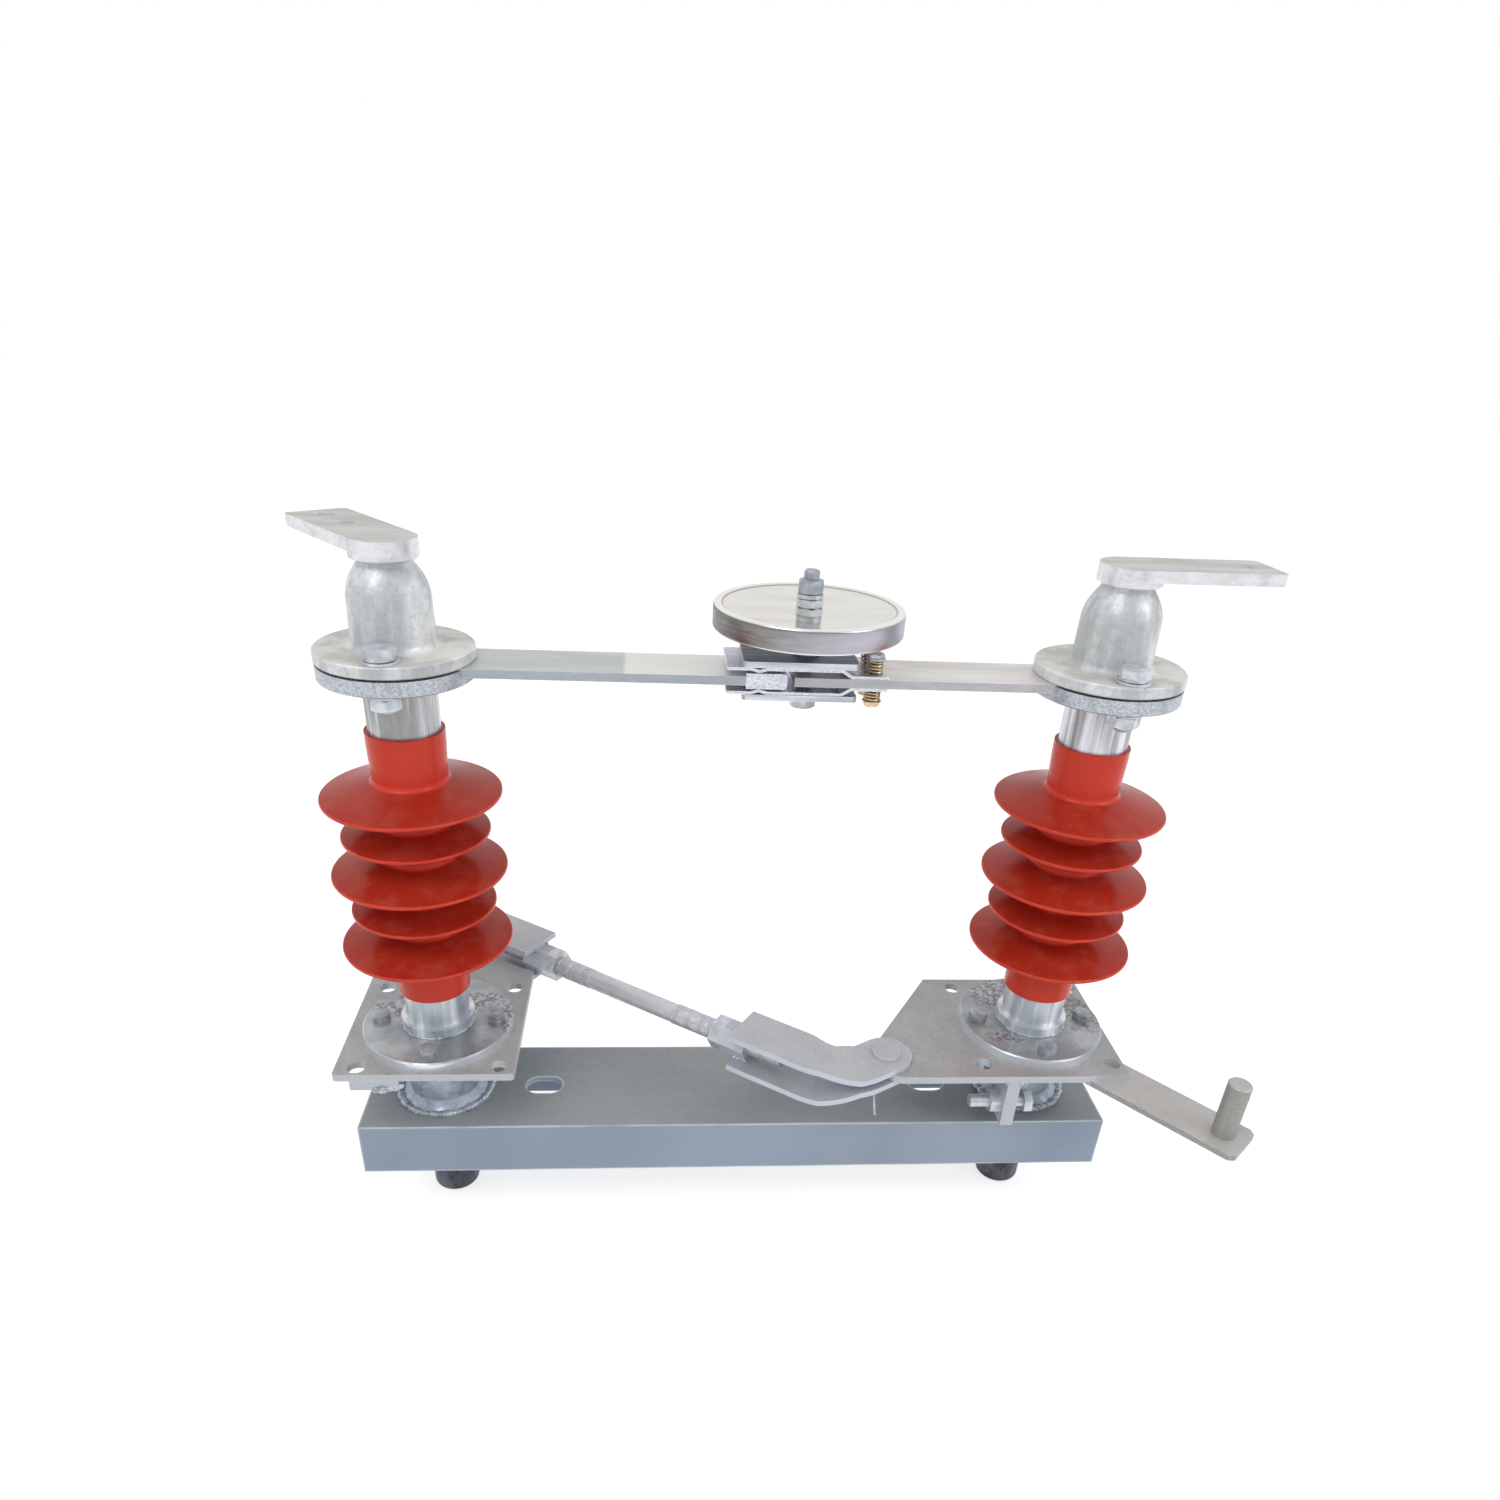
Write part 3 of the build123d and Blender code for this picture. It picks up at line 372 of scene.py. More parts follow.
def make_fitting_zinc():
    """Top fitting: a bright tube with upright dark, light and brownish streaks of painted reflection, and a
    hammered clamping disc.
    """
    material, tree = start_finish("streaked_fitting_zinc")
    # The tube's upright dark, light and brownish streaks are painted reflection.
    streaks = use(tree, patches, Scale=75, Stretch=(1, 1, 0.05), Detail=4, Low=0.4, High=0.6)
    tube = blend(tree, streaks, (150, 152, 152), (240, 243, 250))
    tube = layer(tree, tube, (182, 184, 188), 0.3, patches,
                 Scale=320, Stretch=(1, 1, 0.2), Detail=3, Low=0.36, High=0.64)
    tube = layer(tree, tube, (122, 112, 106), 0.3, patches,
                 Scale=60, Stretch=(1, 1, 0.4), Detail=6, Low=0.58, High=0.72)
    grain = use(tree, patches, Scale=620, Detail=4, Low=0.36, High=0.64)
    face = blend(tree, grain, (168, 175, 184), (206, 212, 219))
    face = layer(tree, face, (136, 141, 149), 0.5, patches,
                 Scale=60, Stretch=(1, 1, 0.5), Detail=4, Low=0.46, High=0.7)
    disc_part = ramp(tree, axis_of(tree, object_spot(tree), "Z"), 0.3532, 0.3536)
    colour = edged(tree, blend(tree, disc_part, tube, face), (236, 239, 242), 0.001, 120, 0.8)
    bump = lumpy(tree, (150, 0.7), (900, 0.12), 0.0006, 0.4)
    return dress(material, colour, span(tree, disc_part, 0.38, 0.42), 0.7, bump)


def make_casting():
    """Pale zinc-coated casting of the bells: matt, with soft upright runs and small pits; its top faces painted
    darker and warmer as painted light.
    """
    material, tree = start_finish("cast_bell")
    cloud = use(tree, patches, Scale=42, Stretch=(1, 1, 0.22), Detail=6, Low=0.38, High=0.64)
    colour = blend(tree, cloud, (194, 197, 199), (242, 244, 247))
    colour = layer(tree, colour, (176, 180, 182), 0.3, patches, Scale=130, Detail=6, Low=0.42, High=0.62)
    colour = layer(tree, colour, (156, 160, 164), 0.25, spangle, Scale=300, Contrast=0.8)
    # Top faces painted darker and warmer: painted light.
    flat = blend(tree, cloud, (196, 195, 187), (220, 217, 210))
    colour = layer(tree, colour, flat, 0.85, upward, Low=0.75, High=0.95)
    holes = use(tree, specks, Scale=480, Amount=0.16, Size=0.32)
    colour = blend(tree, times(tree, holes, 0.55), colour, (128, 128, 126))
    colour = edged(tree, colour, (244, 246, 247), 0.0014, 110, 0.7)
    bump = lumpy(tree, (80, 0.8), (700, 0.45), 0.0008, 0.6, pits=times(tree, holes, 0.6))
    return dress(material, colour, span(tree, cloud, 0.5, 0.4), 0.3, bump)


def make_tinned(name, face, shade, rim, plated=None):
    """Satin tinned copper bar, its narrow sides painted in their own tone as painted light; from a given X on
    it is plated.
    """
    material, tree = start_finish(name)
    along = use(tree, patches, Scale=45, Stretch=(0.3, 1.4, 1), Detail=5, Low=0.32, High=0.68)
    colour = blend(tree, along, shade, face)
    if plated is not None:
        far = axis_of(tree, object_spot(tree), "X")
        colour = blend(tree, ramp(tree, far, plated - 0.002, plated + 0.002), colour, (232, 231, 228))
    # The narrow sides are painted in their own tone: painted light.
    fine = use(tree, patches, Scale=260, Stretch=(0.3, 1, 1), Detail=4, Low=0.35, High=0.65)
    side = blend(tree, times(tree, fine, 0.3), rim, shade)
    side = layer(tree, side, (164, 167, 170), 0.4, patches, Scale=55, Detail=5, Low=0.5, High=0.68)
    colour = blend(tree, use(tree, upward), side, colour)
    colour = layer(tree, colour, (120, 118, 112), 0.4, specks, Scale=420, Amount=0.1, Size=0.25)
    colour = edged(tree, colour, (244, 244, 244), 0.0008, 90, 0.7)
    bump = lumpy(tree, (40, 0.5), (900, 0.3), 0.0006, 0.4, stretch=(0.3, 1.6, 1.0))
    return dress(material, colour, span(tree, along, 0.42, 0.32), 0.6, bump)


def make_contact_silver():
    """Silvered contact faces: bright and finely stippled by wear."""
    material, tree = start_finish("contact_silver")
    face = (230, 233, 243)
    dots = use(tree, patches, Scale=620, Detail=3, Low=0.26, High=0.74)
    colour = blend(tree, dots, (188, 191, 204), face)
    colour = layer(tree, colour, face, 0.4, patches, Scale=95, Detail=5, Low=0.38, High=0.68)
    colour = edged(tree, colour, (250, 250, 250), 0.0006, 140, 0.95)
    return dress(material, colour, span(tree, dots, 0.4, 0.26), 0.85, relief(tree, dots, 0.0002, 0.5))


def make_clamp_steel():
    """Ground steel of the clamp plates, with fine scratches; their flat faces are painted darker than their
    edges, as painted shade of the cover.
    """
    material, tree = start_finish("bright_clamp_steel")
    scratch = use(tree, patches, Scale=260, Stretch=(0.08, 1.6, 1), Detail=5, Low=0.35, High=0.68)
    # Flat faces painted dark and sides light: painted shade of the cover on the flats.
    flat = blend(tree, scratch, (112, 118, 130), (150, 156, 168))
    sides = blend(tree, scratch, (182, 187, 197), (214, 219, 230))
    colour = blend(tree, use(tree, upward), sides, flat)
    colour = edged(tree, colour, (248, 249, 252), 0.0008, 150, 0.9)
    return dress(material, colour, span(tree, scratch, 0.42, 0.32), 0.85, relief(tree, scratch, 0.0002, 0.3))


def make_mirror_steel():
    """Polished rain cover: a mirroring roof with faint wipe marks, a painted highlight on its edge bead and a
    painted shade line inside it, and a rim brushed round and round, painted from dark at one side to light at
    the other as painted reflection.
    """
    material, tree = start_finish("mirror_cover_steel")
    top = use(tree, upward, Low=0.35, High=0.8)
    spot = object_spot(tree)
    haze = use(tree, patches, Scale=15, Stretch=(0.5, 1.8, 1), Detail=3, Low=0.4, High=0.75)
    roof = blend(tree, haze, (238, 235, 230), (224, 220, 211))
    roof = layer(tree, roof, (196, 184, 170), 0.3, patches,
                 Scale=38, Stretch=(0.25, 1.6, 1), Detail=5, Low=0.56, High=0.74)
    from_stud = vectors(tree, "SUBTRACT", spot, (STUD_X * MM, 0, 0))
    radius = vectors(tree, "LENGTH", vectors(tree, "MULTIPLY", from_stud, (1, 1, 0)), output="Value")
    # A painted highlight on the bead along the roof's edge.
    roof = blend(tree, ramp(tree, radius, 0.0576, 0.0584), roof, (250, 248, 243))
    # A painted shade line just inside the bead.
    painted_shade_line = times(tree, ramp(tree, radius, 0.0564, 0.0570), ramp(tree, radius, 0.0575, 0.0580, 1.0, 0.0))
    roof = blend(tree, times(tree, painted_shade_line, 0.7), roof, (150, 138, 122))
    # Upright streaks and a dark-to-light run across the rim: painted reflection.
    broad = use(tree, patches, Scale=17, Stretch=(1, 1, 0.05), Detail=2, Low=0.4, High=0.6)
    across = ramp(tree, axis_of(tree, spot, "X"), -0.035, 0.075)
    painted_rim_reflection = calc(tree, "ADD", times(tree, across, 0.75), times(tree, broad, 0.25))
    rim = blend(tree, painted_rim_reflection, (104, 100, 90), (178, 178, 190))
    rim = layer(tree, rim, (206, 206, 208), 0.25, patches,
                Scale=420, Stretch=(0.12, 0.12, 2.4), Detail=3, Low=0.3, High=0.7)
    lip = ramp(tree, axis_of(tree, spot, "Z"), 0.3928, 0.3934, 1.0, 0.0)
    rim = blend(tree, times(tree, lip, 0.8), rim, (240, 240, 242))
    rough = calc(tree, "ADD", span(tree, top, 0.34, 0.13), times(tree, haze, 0.06))
    bump = lumpy(tree, (14, 1.0), (600, 0.01), 0.0006, 0.25)
    return dress(material, blend(tree, top, rim, roof), rough, 1.0, bump)


def make_plated(name, light, dark, roughness, edges, metal):
    """Zinc plate on bolts, nuts and washers, and the bare metal of weld beads."""
    material, tree = start_finish(name)
    cloud = use(tree, patches, Scale=120, Detail=3, Low=0.3, High=0.7)
    colour = edged(tree, blend(tree, cloud, dark, light), (240, 242, 245), 0.0006, 200, edges)
    bump = lumpy(tree, (200, 0.5), (1500, 0.2), 0.0003, 0.4)
    return dress(material, colour, span(tree, cloud, roughness + 0.1, roughness), metal, bump)


def make_rod_zinc():
    """The link rod: dull light zinc with a faint cloudiness."""
    material, tree = start_finish("satin_rod_zinc")
    blots = use(tree, patches, Scale=95, Detail=6, Low=0.36, High=0.66)
    colour = blend(tree, blots, (198, 202, 208), (210, 213, 217))
    colour = layer(tree, colour, (122, 124, 128), 0.4, specks, Scale=380, Amount=0.12, Size=0.28)
    colour = edged(tree, colour, (228, 230, 234), 0.0006, 160, 0.8)
    bump = lumpy(tree, (130, 0.5), (900, 0.4), 0.0004, 0.5)
    return dress(material, colour, span(tree, blots, 0.42, 0.36), 0.35, bump)


def make_cap_steel():
    """Worn dark steel of the bearing caps, rubbed bright in places."""
    material, tree = start_finish("worn_dark_steel")
    cloud = use(tree, patches, Scale=70, Stretch=(1, 1, 0.5), Detail=7, Low=0.36, High=0.64)
    colour = blend(tree, cloud, (58, 56, 60), (96, 100, 114))
    colour = layer(tree, colour, (120, 98, 84), 0.7, patches, Scale=150, Detail=7, Low=0.58, High=0.7)
    colour = edged(tree, colour, (150, 156, 170), 0.0014, 120, 0.6)
    return dress(material, colour, 0.42, 0.6, lumpy(tree, (110, 0.6), (800, 0.4), 0.0006, 0.5))


def make_shed_rubber():
    """Satin red rubber, a little chalky on the upper faces, which are painted a darker red as painted light."""
    material, tree = start_finish("red_shed_rubber")
    cloud = use(tree, patches, Scale=16, Detail=4, Low=0.32, High=0.68)
    colour = blend(tree, cloud, (213, 65, 48), (222, 71, 53))
    # Upper faces painted a darker red: painted light.
    top = use(tree, upward, Low=0.6, High=0.97)
    colour = blend(tree, times(tree, top, 0.85), colour, (158, 38, 22))
    film = use(tree, patches, Scale=60, Detail=7, Low=0.4, High=0.75)
    dusty = times(tree, times(tree, top, film), 0.11)
    colour = blend(tree, dusty, colour, (222, 146, 122))
    rough = calc(tree, "ADD", span(tree, film, 0.22, 0.3), times(tree, dusty, 0.6))
    bump = lumpy(tree, (55, 0.8), (700, 0.1), 0.0006, 0.3)
    return dress(material, colour, rough, 0.0, bump, **{"IOR": 1.45, "Specular IOR Level": 0.22})


plate_paint = make_silver_paint(
    "plate_silver_paint", (171, 172, 171), (155, 158, 157), (192, 197, 204), (224, 228, 232), 0.42)
lever_paint = make_silver_paint(
    "lever_silver_paint", (190, 189, 187), (178, 178, 176), (158, 157, 154), (228, 228, 226), 0.46)
fork_paint = make_silver_paint(
    "fork_silver_paint", (188, 190, 194), (174, 178, 184), (205, 212, 226), (238, 239, 240), 0.4)
left_arm_tin = make_tinned("left_arm_tin", (202, 206, 202), (192, 196, 192), (166, 173, 184), plated=-0.092)
right_arm_tin = make_tinned("right_arm_tin", (230, 227, 223), (212, 207, 204), (178, 178, 186))
terminal_tin = make_tinned("terminal_tin", (204, 205, 201), (182, 184, 178), (240, 240, 246))
bolt_zinc = make_plated("bolt_zinc", (222, 227, 233), (186, 193, 200), 0.34, edges=0.7, metal=0.55)
dull_zinc = make_plated("dull_zinc", (190, 198, 206), (150, 158, 167), 0.4, edges=0.5, metal=0.5)
weld_silver = make_plated("weld_silver", (206, 213, 222), (150, 159, 170), 0.26, edges=0.2, metal=0.6)
yellow_zinc = make_plated("yellow_zinc", (234, 210, 170), (190, 160, 118), 0.3, edges=0.7, metal=0.75)
rod_zinc = make_rod_zinc()
cap_steel = make_cap_steel()
cover_steel = make_mirror_steel()


def coat(material, *names):
    """Give CAD nodes their finish; a name that starts with an underscore is on both columns."""
    for name in names:
        for node in (f"left{name}", f"right{name}") if name.startswith("_") else (name,):
            slots = nodes[node].data.materials
            slots.clear()
            slots.append(material)


coat(make_base_paint(), "base_channel")
coat(plate_paint, "_crank_plate", "stop_tab", "left_stop_bar")
coat(lever_paint, "operating_lever", "lever_pin")
coat(fork_paint, "link_right_fork", "link_left_fork", "_crank_pin")
coat(rod_zinc, "link_rod", "link_rod_end")
coat(bolt_zinc, "_lock_nut", "_head_bolts", "_flange_bolts")
coat(bolt_zinc, "cover_nuts", "cover_stud", "finger_bolts", "stop_screw")
coat(make_flange_zinc(), "_bottom_flange")
coat(make_housing_zinc(), "_bearing_housing", "_shaft")
coat(cap_steel, "_bearing_cap")
coat(make_shed_rubber(), "_insulator")
coat(make_fitting_zinc(), "_top_fitting")
cast_bell = make_casting()
coat(cast_bell, "_terminal_housing")
coat(terminal_tin, "_terminal")
coat(left_arm_tin, "left_arm")
coat(right_arm_tin, "right_arm")
coat(make_contact_silver(), "contact_tip", "upper_fingers", "lower_fingers")
coat(make_clamp_steel(), "upper_clamp_plate", "lower_clamp_plate")
coat(yellow_zinc, "finger_springs")
coat(cover_steel, "rain_cover")


# Geometry Nodes trees that several pieces share
def geometry_tree(name, inputs):
    """Start a Geometry Nodes tree with named inputs."""
    tree = bpy.data.node_groups.new(name, "GeometryNodeTree")
    tree.is_modifier = True
    tree.interface.new_socket("Geometry", in_out="INPUT", socket_type="NodeSocketGeometry")
    add_inputs(tree, inputs)
    tree.interface.new_socket("Finish", in_out="INPUT", socket_type="NodeSocketMaterial")
    tree.interface.new_socket("Geometry", in_out="OUTPUT", socket_type="NodeSocketGeometry")
    return tree, tree.nodes.new("NodeGroupInput").outputs


def end_tree(tree, given, geometry):
    """Every tree ends in real geometry with its finish."""
    solid = make(tree, "GeometryNodeRealizeInstances", {"Geometry": geometry})
    coated = make(tree, "GeometryNodeSetMaterial", {"Geometry": solid, "Material": given["Finish"]})
    return end_effect(tree, coated)


def make_winding_tree():
    """A wire wound round an axis: a spring, or the ridge of a screw thread."""
    tree, given = geometry_tree("winding", {
        "Coil Radius": 0.005, "Height": 0.01, "Turns": 5.0, "Steps": 24, "Wire Radius": 0.001, "Wire Sides": 8,
        "Foot": (0, 0, 0), "Lean": (0, 0, 0)})
    spiral = make(tree, "GeometryNodeCurveSpiral", {
        "Resolution": given["Steps"], "Rotations": given["Turns"], "Height": given["Height"],
        "Start Radius": given["Coil Radius"], "End Radius": given["Coil Radius"]})
    wire_ring = make(tree, "GeometryNodeCurvePrimitiveCircle", {
        "Resolution": given["Wire Sides"], "Radius": given["Wire Radius"]})
    coil = make(tree, "GeometryNodeCurveToMesh", {
        "Curve": spiral, "Profile Curve": wire_ring, "Fill Caps": True})
    moved = make(tree, "GeometryNodeTransform", {
        "Geometry": coil, "Translation": given["Foot"], "Rotation": given["Lean"]})
    return end_tree(tree, given, moved)


def make_bead_tree():
    """A weld bead: overlapping ripples along a path."""
    tree, given = geometry_tree("weld_bead", {"Ripple": 0.002, "Width": 0.003, "Unevenness": 0.15, "Seed": 3})
    path = make(tree, "GeometryNodeMeshToCurve", {"Mesh": given["Geometry"]})
    along = {"Curve": path, "Length": given["Ripple"]}
    spots = place(tree, "GeometryNodeCurveToPoints", along, mode="LENGTH").outputs
    drop = place(tree, "GeometryNodeMeshUVSphere", {"Segments": 10, "Rings": 6, "Radius": 1.0}).outputs["Mesh"]
    least = calc(tree, "SUBTRACT", 1.0, given["Unevenness"])
    most = calc(tree, "ADD", 1.0, given["Unevenness"])
    limits = {2: least, 3: most, "Seed": given["Seed"]}
    vary = place(tree, "FunctionNodeRandomValue", limits, data_type="FLOAT").outputs[1]
    width = times(tree, given["Width"], vary)
    length = times(tree, given["Ripple"], 1.5)
    size = make(tree, "ShaderNodeCombineXYZ", {0: width, 1: width, 2: length})
    drops = make(tree, "GeometryNodeInstanceOnPoints", {
        "Points": spots["Points"], "Instance": drop, "Rotation": spots["Rotation"], "Scale": size})
    return end_tree(tree, given, make(tree, "GeometryNodeSetShadeSmooth", {"Geometry": drops}))


def make_repeat_tree():
    """Copies of one piece, each turned and stepped on from the last."""
    tree, given = geometry_tree("repeat", {
        "Count": 4, "Turn": 0.0, "Step": (0, 0, 0), "Centre": (0, 0, 0)})
    number = make(tree, "GeometryNodeInputIndex")
    spot = vectors(tree, "MULTIPLY_ADD", given["Step"], number, given["Centre"])
    turn = make(tree, "ShaderNodeCombineXYZ", {2: times(tree, number, given["Turn"])})
    spots = make(tree, "GeometryNodePoints", {"Count": given["Count"], "Position": spot})
    copies = make(tree, "GeometryNodeInstanceOnPoints", {
        "Points": spots, "Instance": given["Geometry"], "Rotation": turn})
    return end_tree(tree, given, copies)


winding = make_winding_tree()
weld_bead = make_bead_tree()
repeat = make_repeat_tree()


# From a tree, a curve or several meshes to one piece
def in_scene(name, data):
    """An object for a mesh, curve, lamp or camera."""
    thing = bpy.data.objects.new(name, data)
    bpy.context.scene.collection.objects.link(thing)
    return thing


def frozen(thing, finish):
    """What an object's tree or bevel makes, as a plain mesh with one finish."""
    bpy.context.view_layer.update()
    mesh = bpy.data.meshes.new_from_object(thing.evaluated_get(bpy.context.evaluated_depsgraph_get()))
    bpy.data.objects.remove(thing)
    mesh.materials.clear()
    mesh.materials.append(finish)
    return mesh


def grown(tree, finish, start=None, **values):
    """Run a tree once and return what it makes."""
    holder = in_scene("growing", start or bpy.data.meshes.new("growing"))
    modifier = holder.modifiers.new("tree", "NODES")
    modifier.node_group = tree
    for label, value in {**values, "Finish": finish}.items():
        modifier[tree.interface.items_tree[label.replace("_", " ")].identifier] = value
    return frozen(holder, finish)


def piece(name, body, meshes, instead_of=(), sharp=35.0):
    """Join meshes in one object that rides on a body."""
    whole = bpy.data.meshes.new(name)
    shape = bmesh.new()
    finishes = []
    for mesh in meshes:
        before = len(shape.faces)
        shape.from_mesh(mesh)
        shape.faces.ensure_lookup_table()
        finish = mesh.materials[0]
        if finish not in finishes:
            finishes.append(finish)
        for face in shape.faces[before:]:
            face.material_index = finishes.index(finish)
            face.smooth = True
    shape.to_mesh(whole)
    shape.free()
    for finish in finishes:
        whole.materials.append(finish)
    whole.set_sharp_from_angle(angle=math.radians(sharp))
    thing = in_scene(name, whole)
    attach(thing, body)
    if instead_of:
        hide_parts(*instead_of)


def joined(meshes):
    """Several meshes of one finish as a single mesh."""
    shape = bmesh.new()
    for mesh in meshes:
        shape.from_mesh(mesh)
    whole = bpy.data.meshes.new("joined")
    shape.to_mesh(whole)
    shape.free()
    whole.materials.append(meshes[0].materials[0])
    return whole


# Plain shapes, in millimetres until they are finished
def settled(shape, finish, at=(0, 0, 0), turn=Matrix()):
    """Close a bmesh, put it in place and return it as a mesh with one finish."""
    bmesh.ops.recalc_face_normals(shape, faces=shape.faces)
    bmesh.ops.transform(shape, matrix=Matrix.Translation(Vector(at) * MM) @ turn, verts=shape.verts)
    mesh = bpy.data.meshes.new("shape")
    shape.to_mesh(mesh)
    shape.free()
    mesh.materials.append(finish)
    return mesh


def arc(across, height, radius, start, end, count):
    """Points along an arc of an outline, without its first; angles in degrees."""
    angles = [math.radians(start + (end - start) * step / count) for step in range(1, count + 1)]
    return [(across + radius * math.cos(angle), height + radius * math.sin(angle)) for angle in angles]


def lathe(finish, outline, steps=64, at=(0, 0, 0), turn=Matrix()):
    """Turn an outline of (radius, height) points about the upright axis and close it."""
    shape = bmesh.new()
    points = [shape.verts.new((radius * MM, 0, height * MM)) for radius, height in outline]
    edges = [shape.edges.new(pair) for pair in zip(points, points[1:])]
    if outline[0][0] and outline[-1][0]:
        edges.append(shape.edges.new((points[-1], points[0])))
    bmesh.ops.spin(shape, geom=points + edges, cent=(0, 0, 0), axis=(0, 0, 1), angle=math.tau, steps=steps)
    bmesh.ops.remove_doubles(shape, verts=shape.verts, dist=1e-6)
    return settled(shape, finish, at, turn)


def disc(finish, radius, low, high, bore=0.0, edge=0.2, at=(0, 0, 0), turn=Matrix(), steps=64):
    """A washer or a short round bar with its edges eased."""
    outline = [(bore, low), (radius - edge, low), (radius, low + edge),
               (radius, high - edge), (radius - edge, high), (bore, high)]
    return lathe(finish, outline, steps, at, turn)


def hexagon(finish, across, low, high, at=(0, 0, 0), cut_low=False, cut_high=True, point=0.0):
    """A nut or bolt head with the curved corner cuts that a lathe leaves."""
    steps = 48
    half = across / 2
    inner = half * 0.95
    rings = [[], [], [], []]
    shape = bmesh.new()
    for step in range(steps):
        angle = math.tau * step / steps
        off = (math.degrees(angle) + 30) % 60 - 30
        reach = half / math.cos(math.radians(off))
        drop = (reach - inner) * math.tan(math.radians(30))
        spin = angle + math.radians(point)
        levels = (inner, low), (reach, low + drop * cut_low), (reach, high - drop * cut_high), (inner, high)
        for ring, (radius, height) in zip(rings, levels):
            ring.append(shape.verts.new(
                (radius * MM * math.cos(spin), radius * MM * math.sin(spin), height * MM)))
    for lower, upper in zip(rings, rings[1:]):
        for step in range(steps):
            after = (step + 1) % steps
            shape.faces.new((lower[step], lower[after], upper[after], upper[step]))
    shape.faces.new(list(reversed(rings[0])))
    shape.faces.new(rings[3])
    return settled(shape, finish, at)


def spring_washer(finish, inner, outer, low, thick, at=(0, 0, 0)):
    """A split washer: one flat turn whose ends stand a little apart."""
    shape = bmesh.new()
    steps = 44
    rings = []
    for step in range(steps + 1):
        share = step / steps
        angle = math.radians(8 + 344 * share)
        rise = low + 0.7 * share
        rings.append(
            [shape.verts.new((radius * MM * math.cos(angle), radius * MM * math.sin(angle), height * MM))
             for radius, height in ((inner, rise), (outer, rise), (outer, rise + thick), (inner, rise + thick))]
        )
    for before, after in zip(rings, rings[1:]):
        for corner in range(4):
            beside = (corner + 1) % 4
            shape.faces.new((before[corner], before[beside], after[beside], after[corner]))
    shape.faces.new(rings[0])
    shape.faces.new(rings[-1])
    return settled(shape, finish, at)


def thread(finish, radius, low, high, pitch, at, turn=Matrix()):
    """The ridge of a screw thread between two heights on a plain bar."""
    height = high - low
    foot = Vector(at) + turn @ Vector((0, 0, low))
    return grown(
        winding, finish, Coil_Radius=radius * MM, Height=height * MM, Turns=height / pitch, Steps=28,
        Wire_Radius=0.36 * pitch * MM, Wire_Sides=4, Foot=foot * MM, Lean=turn.to_euler())


def wire(finish, points, radius):
    """A round wire through a few points, rounded at its corners."""
    curve = bpy.data.curves.new("wire", "CURVE")
    curve.dimensions = "3D"
    curve.bevel_depth = radius * MM
    curve.bevel_resolution = 2
    curve.use_fill_caps = True
    curve.resolution_u = 6
    line = curve.splines.new("NURBS")
    line.points.add(len(points) - 1)
    for spot, point in zip(line.points, points):
        spot.co = (*(Vector(point) * MM), 1.0)
    line.order_u = 3
    line.use_endpoint_u = True
    return frozen(in_scene("wire", curve), finish)


def along_link(distance, across=0.0, up=0.0):
    """A point on the cross link, so far from its middle towards the right."""
    return LINK_MID + LINK_TURN @ Vector((-up, across, distance))


# Fasteners and heads of the columns
def make_bell(side, x):
    """The head casting: clamping disc, bell with a filleted foot and a domed shoulder, bored neck."""
    outline = [(0, 365.2), (50.2, 365.2), (51.0, 366.0), (51.0, 372.4), (50.2, 373.2), (42.0, 373.2),
               (32.2, 373.2), *arc(32.2, 378.6, 5.4, 270, 180, 8), (26.7, 386), (26.5, 395), (26.3, 404)]
    for step in range(1, 13):
        share = step / 12
        rest = 1 - share
        outline.append((rest ** 2 * 26.3 + 2 * rest * share * 26.1 + share ** 2 * 17.5,
                        rest ** 2 * 404.0 + 2 * rest * share * 414.6 + share ** 2 * 425.2))
    outline += [(17.5, 427.8), (17.1, 428.2), (11.05, 428.2), (11.05, 394.2), (0, 394.2)]
    casting = lathe(cast_bell, outline, steps=96, at=(x, 0, 0))
    piece(f"{side}_bell_casting", f"{side}_column", [casting], [f"{side}_terminal_housing"])


def make_head_bolts(side, x):
    """Two bolts in front of and behind the bell, each with a flat and a split washer."""
    at = (0, HEAD_BOLT_Y, 0)
    one = joined([
        disc(bolt_zinc, 11.5, 373.2, 374.9, bore=6.2, edge=0.3, at=at),
        spring_washer(bolt_zinc, 6.2, 9.6, 374.9, 1.6, at=at),
        disc(bolt_zinc, 9.0, 376.7, 377.3, edge=0.2, at=at),
        hexagon(bolt_zinc, 19, 377.2, 383.2, at=at, point=-8),
        disc(bolt_zinc, 6.0, 340.5, 377.0, edge=0.8, at=at, steps=32),
        disc(bolt_zinc, 11.5, 351.9, 353.5, bore=6.2, edge=0.3, at=at),
        hexagon(bolt_zinc, 19, 343.5, 351.9, at=at, cut_low=True, point=14),
        thread(bolt_zinc, 5.9, 341.2, 343.8, 1.75, at),
    ])
    pair = grown(repeat, bolt_zinc, start=one, Count=2, Turn=math.pi, Centre=(x * MM, 0, 0))
    piece(f"{side}_head_bolt_set", f"{side}_column", [pair], [f"{side}_head_bolts"])


def make_flange_bolts(side, x):
    """Four bolts through the bottom flange and the crank plate."""
    at = (FLANGE_BOLT_X, 0, 0)
    one = joined([
        hexagon(dull_zinc, 13, 73.8, 79.2, at=at, point=11),
        disc(dull_zinc, 4.0, 52.2, 74.0, edge=0.5, at=at, steps=28),
        hexagon(dull_zinc, 13, 54.3, 60.8, at=at, cut_low=True, point=20),
        thread(dull_zinc, 3.9, 52.6, 54.8, 1.25, at),
    ])
    four = grown(repeat, dull_zinc, start=one, Count=4, Turn=math.pi / 2, Centre=(x * MM, 0, 0))
    piece(f"{side}_flange_bolt_set", f"{side}_column", [four], [f"{side}_flange_bolts"])


